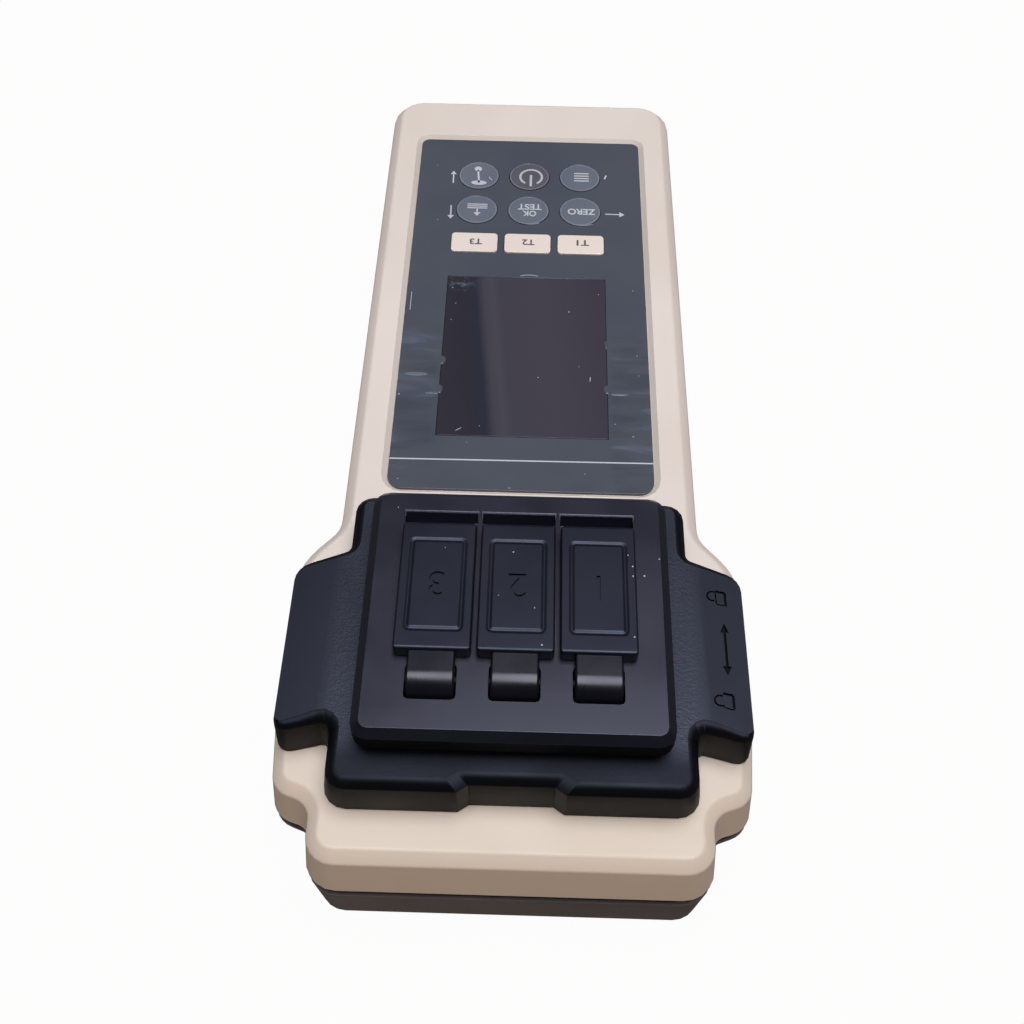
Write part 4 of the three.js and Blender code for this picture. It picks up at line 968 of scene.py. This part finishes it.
# %% Display window
window = raised_sheet("display_glass", "display_window", WINDOW_CORNER, WINDOW_CORNER)
edit(window)
pick("FACE", lambda face: face.normal.z > 0.9)
bpy.ops.mesh.region_to_loop()
bpy.ops.mesh.bevel(offset=WINDOW_EDGE * MM, segments=2)
dress(window, display_film, "housing", ["display_window"])
print("window is", [round(side, 1) for side in high - low], "mm")

# %% [markdown]
# ## Printing on the film and the keys
#
# The legends are screen printed in white, and the bar keys' labels in grey. A real layer of ink is too
# thin to model, so each mark is a low block whose foot is sunk in the film or the domed cap and whose
# top lies 0.02 mm above it. Letters are text turned to a mesh, lines are long cubes, arrow heads are
# cylinders with three corners, and the power ring is a cylinder with a hole and a gap cut out. All
# lettering is read from the keypad's side, so it is turned half round. The marks of one key are joined
# and move with that key.

# %% Helpers for printed marks
INK, BOLDER = 0.24, 0.07


def stroke(x0, y0, x1, y1, width, z):
    """A straight line of ink between two places, in mm."""
    run = Vector((x1 - x0, y1 - y0))
    turn = math.atan2(run.y, run.x)
    centre = ((x0 + x1) / 2, (y0 + y1) / 2, z)
    return block("stroke", centre, (run.length, width, INK), rotation=(0, 0, turn))


def triangle(x, y, half_width, length, z, turn=0):
    """A filled triangle that points along +Y before it is turned by so many degrees."""
    piece = disc("triangle", (0, 0, 0), (half_width / math.cos(math.radians(30)), length / 1.5), INK, corners=3)
    piece.rotation_euler = (0, 0, math.radians(turn))
    piece.location = (x * MM, y * MM, z * MM)
    return settle(piece, "triangle")


def ink_text(words, height, width, x, y, z):
    """Lettering of this height and width round a place, in mm."""
    text = lettering(words, height, (0, 0, 0), INK / 2, BOLDER)
    text.scale = (width * MM / text.dimensions.x, 1, 1)
    text.location = (x * MM, y * MM, z * MM)
    return settle(text, "ink")


def print_on(marks, name, ink, body):
    """Joins the marks and hangs them on their body."""
    return dress(weld(marks, name), ink, body)


key_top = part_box("key_near_middle")[1].z / MM
bar_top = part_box("key_t2")[1].z / MM
plate_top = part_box("lid_plate")[1].z / MM
SUNK = 0.02 - INK / 2
print("tops of film, round key and bar key:", round(film_top, 2), round(key_top, 2), round(bar_top, 2))

# %% Legends of the round keys
LINE, HEAD_LENGTH, HEAD_NECK, HEAD_MIDDLE = 0.34, 1.3, 1.2, 0.8
RING_PLACE, RING_OUTER, RING_INNER = (0.45, 75.25), 3.1, 2.52


def arrow(x0, y0, x1, y1, half_width, z):
    """A line of ink with a triangular head at its second end."""
    run = Vector((x1 - x0, y1 - y0))
    turn = math.degrees(math.atan2(run.y, run.x)) - 90
    neck = Vector((x1, y1)) - run.normalized() * HEAD_NECK
    tip_middle = Vector((x1, y1)) - run.normalized() * HEAD_MIDDLE
    return [stroke(x0, y0, *neck, LINE, z), triangle(*tip_middle, half_width, HEAD_LENGTH, z, turn)]


z = key_top + SUNK
figure = [
    disc("head", (-13.36, 77.93, z), (0.96, 0.96), INK, corners=20),
    disc("shoulders", (-13.0, 72.55, z), (2.0, 0.85), INK, corners=24),
    stroke(-13.36, 77.5, -13.0, 72.6, 0.5, z),
    stroke(-10.2, 74.2, -9.64, 73.77, 0.25, z), stroke(-10.4, 75.0, -10.2, 74.2, 0.2, z),
]
ring = disc("ring", (*RING_PLACE, z), (RING_OUTER, RING_OUTER), INK)
cut(ring, disc("tool", (*RING_PLACE, z), (RING_INNER, RING_INNER), 1))
cut(ring, disc("tool", (0.45, 73.0, z), (2.5, 4.6), 1, corners=3))
power = [ring, stroke(0.42, 76.02, 0.42, 71.6, 0.62, z)]
menu = [stroke(11.6, y, 15.4, y, 0.42, z) for y in (77.05, 76.1, 75.15, 74.2)]
lines = [stroke(-15.56, y, -10.46, y, 0.36, z) for y in (64.3, 63.6, 62.9)]
lines += arrow(-13.0, 62.6, -13.0, 60.0, 0.9, z)
words = [ink_text("OK", 1.85, 3.5, 0.34, 61.4, z), ink_text("TEST", 2.0, 6.0, 0.33, 63.85, z)]
zero = [ink_text("ZERO", 2.05, 7.0, 13.4, 62.5, z)]
for marks, name, key in (
    (figure, "figure_print", "key_far_left"), (power, "power_print", "key_far_middle"),
    (menu, "menu_print", "key_far_right"), (lines, "lines_print", "key_near_left"),
    (words, "test_print", "key_near_middle"), (zero, "zero_print", "key_near_right"),
):
    print_on(marks, name, white_print, key)

# %% Labels of the bar keys and arrows on the film
LABEL_HEIGHT, LABEL_WIDTH = 1.9, 3.1
for label, x, y in (("T3", -12.93, 50.85), ("T2", 0.18, 51.0), ("T1", 13.43, 51.25)):
    node = f"key_{label.lower()}"
    letters = ink_text(label, LABEL_HEIGHT, LABEL_WIDTH, x, y, bar_top + SUNK)
    print_on([letters], f"{node}_label", grey_print, node)

z = film_top + SUNK
up = arrow(-19.66, 72.75, -19.74, 77.42, 0.75, z)
down = arrow(-19.72, 64.21, -19.62, 59.25, 0.85, z)
right = arrow(19.48, 62.23, 24.31, 62.15, 0.95, z) + [stroke(19.97, 77.13, 19.52, 75.67, 0.4, z)]
border = [stroke(-28.6, -17.6, 28.6, -17.2, LINE, z), stroke(-27.45, 27, -27.5, 33, 0.14, z)]
for marks, name in (
    (up, "arrow_up_print"), (down, "arrow_down_print"), (right, "arrow_right_print"), (border, "border_print"),
):
    print_on(marks, name, white_print, "housing")
print("the border line lies", round(z + INK / 2 - film_top, 3), "mm above the film")

# %% [markdown]
# Where the film has come loose it bulges a little over the window's sides, and a pale arc stands at
# the window's far edge. Beside the window lie low ridges in the paler key film, whose paler colour is
# a painted highlight. Two keys show a pale crescent in the paler outline film, a painted reflection of
# the room. Dust and a piece of lint lie about. These are flattened spheres and thin strokes, so that
# they have a real height and ride on what they lie on.

# %% Bulges, arc and lint on the film
def blob(name, x, y, z, radii):
    """A flattened sphere, with its three radii in mm."""
    return start("uv_sphere", name, (x, y, z), radii, segments=16, ring_count=8, radius=1)


bulges = [
    blob("bulge", x, y, film_top, (reach, 1.25, 0.1))
    for x, y, reach in ((-19, 11.4, 0.95), (-19, 2.6, 0.75), (19, 17.3, 0.4), (19, 3.6, 0.8))
]
print_on(bulges, "film_bulges", slate_film, "housing")
ARC = [(-1.42, 39.35), (-0.4, 39.62), (0.68, 39.7), (1.75, 39.62), (2.78, 39.35)]
wisps = [stroke(*a, *b, 0.16, z) for a, b in zip(ARC, ARC[1:])]
wisps += [stroke(15.13, 5.9, 15.22, 7.2, 0.18, film_top + SUNK), stroke(-14.7, -9.4, -13.5, -8.6, 0.14, z)]
print_on(wisps, "film_wisps", dust_lint, "housing")
# Low ridges in the paler key film: real ridges, whose paler colour is a painted highlight.
painted_gleam_ridges = [
    blob("gleam", x, y, film_top - 0.02, (length, width, 0.06))
    for x, y, length, width in ((-24.6, 6.9, 2.9, 0.55), (21.8, 2.2, 2.2, 0.3), (-20.7, 1.3, 1.6, 0.3))
]
print_on(painted_gleam_ridges, "film_gleams", key_film, "housing")
# A pale crescent on two keys, in the paler outline film: a painted reflection of the room.
for name, x, y, half_width in (("key_near_right", 13.6, 57.6, 2.6), ("key_near_middle", 0.6, 57.6, 2.2)):
    points = [(x + half_width * t, y + 0.55 * t * t) for t in (-1, -0.6, -0.2, 0.2, 0.6, 1)]
    painted_crescent = [stroke(*a, *b, LINE, key_top - 0.36) for a, b in zip(points, points[1:])]
    print_on(painted_crescent, f"{name}_gleam", key_rim_film, name)

# %% Dust
SPECK_WIDTH_SHARE, SPECK_HEIGHT_SHARE = 0.8, 0.3
DUST = {
    "housing": (film_top, "slate_foil", [
        (10.3, 27.6, 0.22), (17.4, 33.6, 0.14), (-17.5, 24.2, 0.14), (-16.7, 29.6, 0.16), (3.3, 6.7, 0.2),
        (12.7, 10.4, 0.13), (25.7, 35.2, 0.15), (26.3, 8.0, 0.13), (26.1, 14.1, 0.16), (-24.1, 79.6, 0.14),
        (-22.8, 58.7, 0.15), (-28.0, 0.7, 0.24), (-17.7, 34.8, 0.2), (24.5, -9.9, 0.22), (20.6, -6.4, 0.15),
        (-2.4, -24.8, 0.18), (13.8, -20.5, 0.14), (-26.4, -23.0, 0.18), (-12.1, -12.6, 0.12),
        (-9.5, -7.9, 0.12),
    ]),
    "lid_1": (lid_top, "black_abs", [
        (20.1, -56.6, 0.16), (20.9, -59.0, 0.2), (20.9, -61.1, 0.2), (20.8, -73.7, 0.2),
    ]),
    "lid_2": (lid_top, "black_abs", [
        (-0.9, -56.6, 0.2), (-3.3, -65.9, 0.12), (3.2, -68.3, 0.15), (4.6, -75.8, 0.22),
    ]),
    "lid_3": (lid_top, "black_abs", [(-13.4, -56.0, 0.12)]),
    "module": (plate_top, "black_abs", [(23.3, -59.1, 0.24), (26.2, -55.3, 0.16), (-23.1, -45.1, 0.14)]),
}
for body, (height, slot, places) in DUST.items():
    specks = [
        blob("speck", x, y, height, [
            reach * share for share in (SPECK_WIDTH_SHARE, SPECK_WIDTH_SHARE, SPECK_HEIGHT_SHARE)
        ]) for x, y, reach in places
    ]
    print_on(specks, f"dust_on_{body}", dust_lint, body)
print("specks of dust:", sum(len(places) for _, _, places in DUST.values()))

# %% [markdown]
# ## The shells, the module and the plate
#
# These mouldings carry the fitted outline, with holes, slots and hooks that the mechanism needs, so
# they start from the CAD node's own shape. A CAD node is loose triangles, each with its own corners.
# A copy is merged into one skin, the flat triangles are dissolved into whole faces, and every crease
# that a mould would round gets a narrow bevel. The two hidden levels of the module that are full of
# holes stay triangles, because a single face can't hold holes. Weighted normals keep the large faces
# flat while the light rolls over the edges. The node itself isn't touched. The marks on the module's
# right wing are sunk into it, half a millimetre deep, so they are cut from the copy: an open padlock at
# the far end, a closed one at the near end and a double arrow between them.

# %% Padlocks and double arrow on the right wing
WING_SLOPE, WING_CREASE, RIM_TOP = 5, 33.77, 45.2
ICON_DEPTH, ICON_STROKE = 0.5, 0.36
ICON_SIDES, ICON_FAR_END = (35.8, 39.9), -55.5
PADLOCK = [(37.75, 1.45, 0.5), (39.55, 1.15, 0.5), (39.58, -1.74, 0.26), (37.82, -1.35, 0.26)]


def wing_point(x, y):
    """The point of the right wing's sloping top above this place, in mm."""
    return Vector((x, y, RIM_TOP - (x - WING_CREASE) * math.tan(math.radians(WING_SLOPE))))


def wing_groove(x0, y0, x1, y1, width):
    """A box for a straight groove on the wing. No two are quite as deep, so that none lie flush."""
    run = Vector((x1 - x0, y1 - y0))
    turn = math.atan2(run.y, run.x)
    tilt = Matrix.Rotation(math.radians(WING_SLOPE), 3, "Y") @ Matrix.Rotation(turn, 3, "Z")
    depth = ICON_DEPTH * (1 + 0.02 * math.cos(40 * x0 + 9 * y0))
    centre = wing_point((x0 + x1) / 2, (y0 + y1) / 2)
    return block("cutter", centre, (run.length, width, 2 * depth), rotation=tilt.to_euler())


def shackle(x, y, reach, first, last):
    """Grooves along part of a circle, from one angle to another in degrees."""
    angles = [math.radians(first + (last - first) * step / 6) for step in range(7)]
    points = [(x + reach * math.cos(a), y + reach * math.sin(a)) for a in angles]
    return [wing_groove(*a, *b, ICON_STROKE) for a, b in zip(points, points[1:])]


def wing_icons():
    """One cutter for an open padlock, a double arrow and a closed padlock, all lying on their side."""
    grooves = []
    for y, opened in ((-57.75, 1), (-79.4, 0)):
        corners = PADLOCK + PADLOCK[:1] if opened else PADLOCK
        for (ax, ay, width), (bx, by, _) in zip(corners, corners[1:]):
            grooves.append(wing_groove(ax, y + ay, bx, y + by, width))
        grooves += shackle(37.15, y + 0.35 * opened, 1.05, 60, 265 + 25 * opened)
        if not opened:
            grooves.append(wing_groove(37.0, y - 1.0, 37.9, y - 1.08, ICON_STROKE))
    grooves.append(wing_groove(38.95, -64.9, 38.95, -72.6, 0.5))
    for middle_y, turn in ((-64.6, 0), (-73.0, 180)):
        tilt = Matrix.Rotation(math.radians(WING_SLOPE), 3, "Y") @ Matrix.Rotation(math.radians(turn), 3, "Z")
        centre = wing_point(38.93, middle_y)
        grooves.append(disc("cutter", centre, (0.95, 1.3), 2.1 * ICON_DEPTH, corners=3, rotation=tilt.to_euler()))
    tool = grooves[0]
    for groove in grooves[1:]:
        apply_modifier(tool, "BOOLEAN", operation="UNION", solver="EXACT", object=groove)
        bpy.data.objects.remove(groove)
    return tool


print("the wing's top at X 38 is at Z", round(wing_point(38, 0).z, 2))

# %% Worked copies of the four mouldings
SKIN_MERGE, ICON_MERGE, FLAT_ANGLE = 0.005, 0.003, 0.4
SHELL_ROUND, MODULE_ROUND, PLATE_ROUND = 0.2, 0.3, 0.25
SHELL_CREASE, BLACK_CREASE = 40, 26
HIDDEN_LEVELS = (48.6, 42.8)
UPRIGHT, LEANING = 0.3, 0.93


def moulding(node_name, name, edge_round, sharp_from, cutters=(), left_alone=()):
    """A merged copy of a CAD node, less the cutters, with its creases rounded by edge_round mm.

    Faces at the heights in left_alone stay triangles.
    """
    node = frame["nodes"][node_name]
    alone(node)
    bpy.ops.object.duplicate()
    piece = bpy.context.active_object
    piece.parent = None
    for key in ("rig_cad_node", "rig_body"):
        del piece[key]
    piece.name = piece.data.name = name
    edit(piece)
    bpy.ops.mesh.customdata_custom_splitnormals_clear()
    bpy.ops.mesh.select_all(action="SELECT")
    bpy.ops.mesh.remove_doubles(threshold=SKIN_MERGE * MM)
    pick("FACE", lambda face: all(abs(middle(face).z - height) > 0.02 for height in left_alone))
    bpy.ops.mesh.dissolve_limited(angle_limit=math.radians(FLAT_ANGLE))
    alone(piece)
    for cutter in cutters:
        cut(piece, cutter)
    apply_modifier(
        piece, "BEVEL", width=edge_round * MM, segments=2, limit_method="ANGLE",
        angle_limit=math.radians(sharp_from), use_clamp_overlap=True, miter_outer="MITER_ARC",
    )
    return piece


upper = moulding("upper_shell", "upper_shell_moulding", SHELL_ROUND, SHELL_CREASE)
dress(upper, cream_abs, "housing", ["upper_shell"])
lower = moulding("lower_shell", "lower_shell_moulding", SHELL_ROUND, SHELL_CREASE)
dress(lower, dark_abs, "housing", ["lower_shell"])
module = moulding("module_body", "module_moulding", MODULE_ROUND, BLACK_CREASE, left_alone=HIDDEN_LEVELS)
cut(module, wing_icons())
edit(module)
bpy.ops.mesh.select_all(action="SELECT")
bpy.ops.mesh.remove_doubles(threshold=ICON_MERGE * MM)
dress(module, black_abs, "module", ["module_body"])
for material in (warm_painted_wall_abs, chamfer_painted_shade_abs, painted_shade_abs):
    module.data.materials.append(material)
# Painted light on the module: upright faces get the warm painted reflection, chamfers painted shade, and the sunk
# marks and the wall under the plate the matt black of painted shade.
for face in module.data.polygons:
    centre, lean = face.center / MM, face.normal.z
    sunk = -1.2 * ICON_DEPTH < centre.z - wing_point(*centre.xy).z < -0.08
    in_icon = sunk and ICON_SIDES[0] < centre.x < ICON_SIDES[1] and centre.y < ICON_FAR_END
    in_painted_shade = in_icon or abs(lean) < UPRIGHT and centre.z > RIM_TOP
    face.material_index = 3 if in_painted_shade else 1 if abs(lean) < UPRIGHT else 2 if lean < LEANING else 0

# %% [markdown]
# Beyond each lid the plate has a notch for a fingertip, whose far edge slopes down. That slope is cut
# from the copy with a tilted block, one for each lid. The lower part of the plate's walls gets the
# matt black of painted shade.

# %% Plate with a slope in each finger notch
NOTCH_LENGTH, NOTCH_CHAMFER, NOTCH_SLOPE = 4.5, 0.85, 32
PAINTED_SHADE_BELOW = 1.6

slope = math.radians(NOTCH_SLOPE)
notch_cutters = []
for number in (1, 2, 3):
    x = hinge_place[f"lid_{number}"].x
    edge = Vector((x, lid_far + NOTCH_LENGTH, plate_top - 0.1))
    centre = edge + Vector((0, -math.sin(slope), math.cos(slope))) * 2
    notch_cutters.append(block(
        "cutter", centre, (lid_width + 0.5, 2 * NOTCH_CHAMFER / math.cos(slope), 4), rotation=(slope, 0, 0),
    ))
plate = moulding("lid_plate", "lid_plate_moulding", PLATE_ROUND, BLACK_CREASE, notch_cutters)
dress(plate, plate_abs, "module", ["lid_plate"])
plate.data.materials.append(painted_shade_abs)
# The plate's lower walls get the matt black of painted shade.
for face in plate.data.polygons:
    face.material_index = int(abs(face.normal.z) < 0.2 and face.center.z / MM < plate_top - PAINTED_SHADE_BELOW)
for piece in (upper, lower, module, plate):
    print(piece.name, "faces:", len(piece.data.polygons), "open edges:", open_edges(piece))

# %% [markdown]
# ## Table, light and room
#
# A plain pale table and soft light. A broad lamp stands nearly overhead and a weak warm one in front, so
# the tops are bright and the faces towards the camera about a third as bright, as in the photograph.
# The Light Path node tells how a ray gets to the table or the room. Straight to the camera, or through
# something clear, both are white. In a reflection the room is a dim, bluish ceiling over a dark floor,
# which keeps the black plastic black, and for scattered light both give only a little, which keeps the
# cream from washing out.

# %% Table
def add_path_level(tree, direct, mirrored, scattered):
    """A socket whose level depends on how the light gets here: straight, by a reflection, or scattered."""
    path = add_node(tree, "ShaderNodeLightPath", {})
    straight = add_node(tree, "ShaderNodeMath", {"operation": "MAXIMUM"}, {
        0: path.outputs["Is Camera Ray"], 1: path.outputs["Is Transmission Ray"],
    })
    glossy = add_node(tree, "ShaderNodeMapRange", {"To Min": scattered, "To Max": mirrored}, {
        "Value": path.outputs["Is Glossy Ray"],
    })
    return add_node(tree, "ShaderNodeMapRange", {"To Max": direct}, {
        "Value": straight.outputs["Value"], "To Min": glossy.outputs["Result"],
    }).outputs["Result"]


TABLE_SIZE, TABLE_GAP = 6, 0.2
bpy.ops.mesh.primitive_plane_add(size=TABLE_SIZE, location=(0, 0, -TABLE_GAP * MM))
table = bpy.context.active_object
table.name = "table_top"

table_paint = bpy.data.materials.new("table_white_laminate")
table_paint.use_nodes = True
tree = table_paint.node_tree
tree.nodes.clear()
laminate = add_node(tree, "ShaderNodeBsdfDiffuse", {"Color": linear("#B9AEA3")})
glow = add_node(tree, "ShaderNodeEmission", {"Color": linear("#FFFFFF")}, {
    "Strength": add_path_level(tree, 1.0, 0.12, 0.0),
})
blend = add_node(tree, "ShaderNodeMixShader", {}, {
    "Fac": add_path_level(tree, 0.97, 1.0, 0.0), 1: laminate.outputs["BSDF"], 2: glow.outputs["Emission"],
})
add_node(tree, "ShaderNodeOutputMaterial", {}, {"Surface": blend.outputs["Shader"]})
table.data.materials.append(table_paint)

# %% Room
ROOM_SCATTERED, ROOM_MIRRORED = 0.32, 0.2
room = bpy.data.worlds.new("pale_room")
bpy.context.scene.world = room
room.use_nodes = True
tree = room.node_tree
tree.nodes.clear()
towards = add_node(tree, "ShaderNodeTexCoord", {}).outputs["Generated"]
ceiling = add_node(tree, "ShaderNodeVectorMath", {
    "operation": "DOT_PRODUCT", 1: (0.0, 0.4, 0.92),
}, {0: towards})
shades = add_node(tree, "ShaderNodeValToRGB", {
    "stops": [(0.0, "#2A2420"), (0.45, "#5A5048"), (0.75, "#B4B7C6"), (1.0, "#E6EAFF")],
}, {"Fac": add_node(tree, "ShaderNodeMapRange", {"From Min": -0.3, "From Max": 1.0}, {
    "Value": ceiling.outputs["Value"],
}).outputs["Result"]})
path = add_node(tree, "ShaderNodeLightPath", {})
seen = add_node(tree, "ShaderNodeMix", {"data_type": "RGBA", 7: linear("#FFFFFF")}, {
    0: path.outputs["Is Camera Ray"], 6: shades.outputs["Color"],
})
level = add_path_level(tree, 1.0, ROOM_MIRRORED, ROOM_SCATTERED)
sky = add_node(tree, "ShaderNodeBackground", {}, {"Color": seen.outputs[2], "Strength": level})
add_node(tree, "ShaderNodeOutputWorld", {}, {"Surface": sky.outputs["Background"]})
print("room lights scattered rays at", ROOM_SCATTERED, "and reflections at", ROOM_MIRRORED)

# %% Lamps
def soft_lamp(name, place, size, power, colour, mirrored=True):
    """A square area lamp, in metres and watts, that points at the middle of the object."""
    bpy.ops.object.light_add(type="AREA", location=place)
    lamp = bpy.context.active_object
    lamp.name = name
    lamp.data.size = size
    lamp.data.energy = power
    lamp.data.color = linear(colour)[:3]
    lamp.visible_glossy = mirrored
    lamp.rotation_euler = (-Vector(place)).to_track_quat("-Z", "Y").to_euler()
    return lamp


soft_lamp("lamp_above", (0.1, -0.1, 1.3), 0.8, 16.0, "#FAFBFF")
soft_lamp("warm_light_from_the_front", (0, -1.3, 0.3), 0.8, 2.2, "#FFE2C4", mirrored=False)
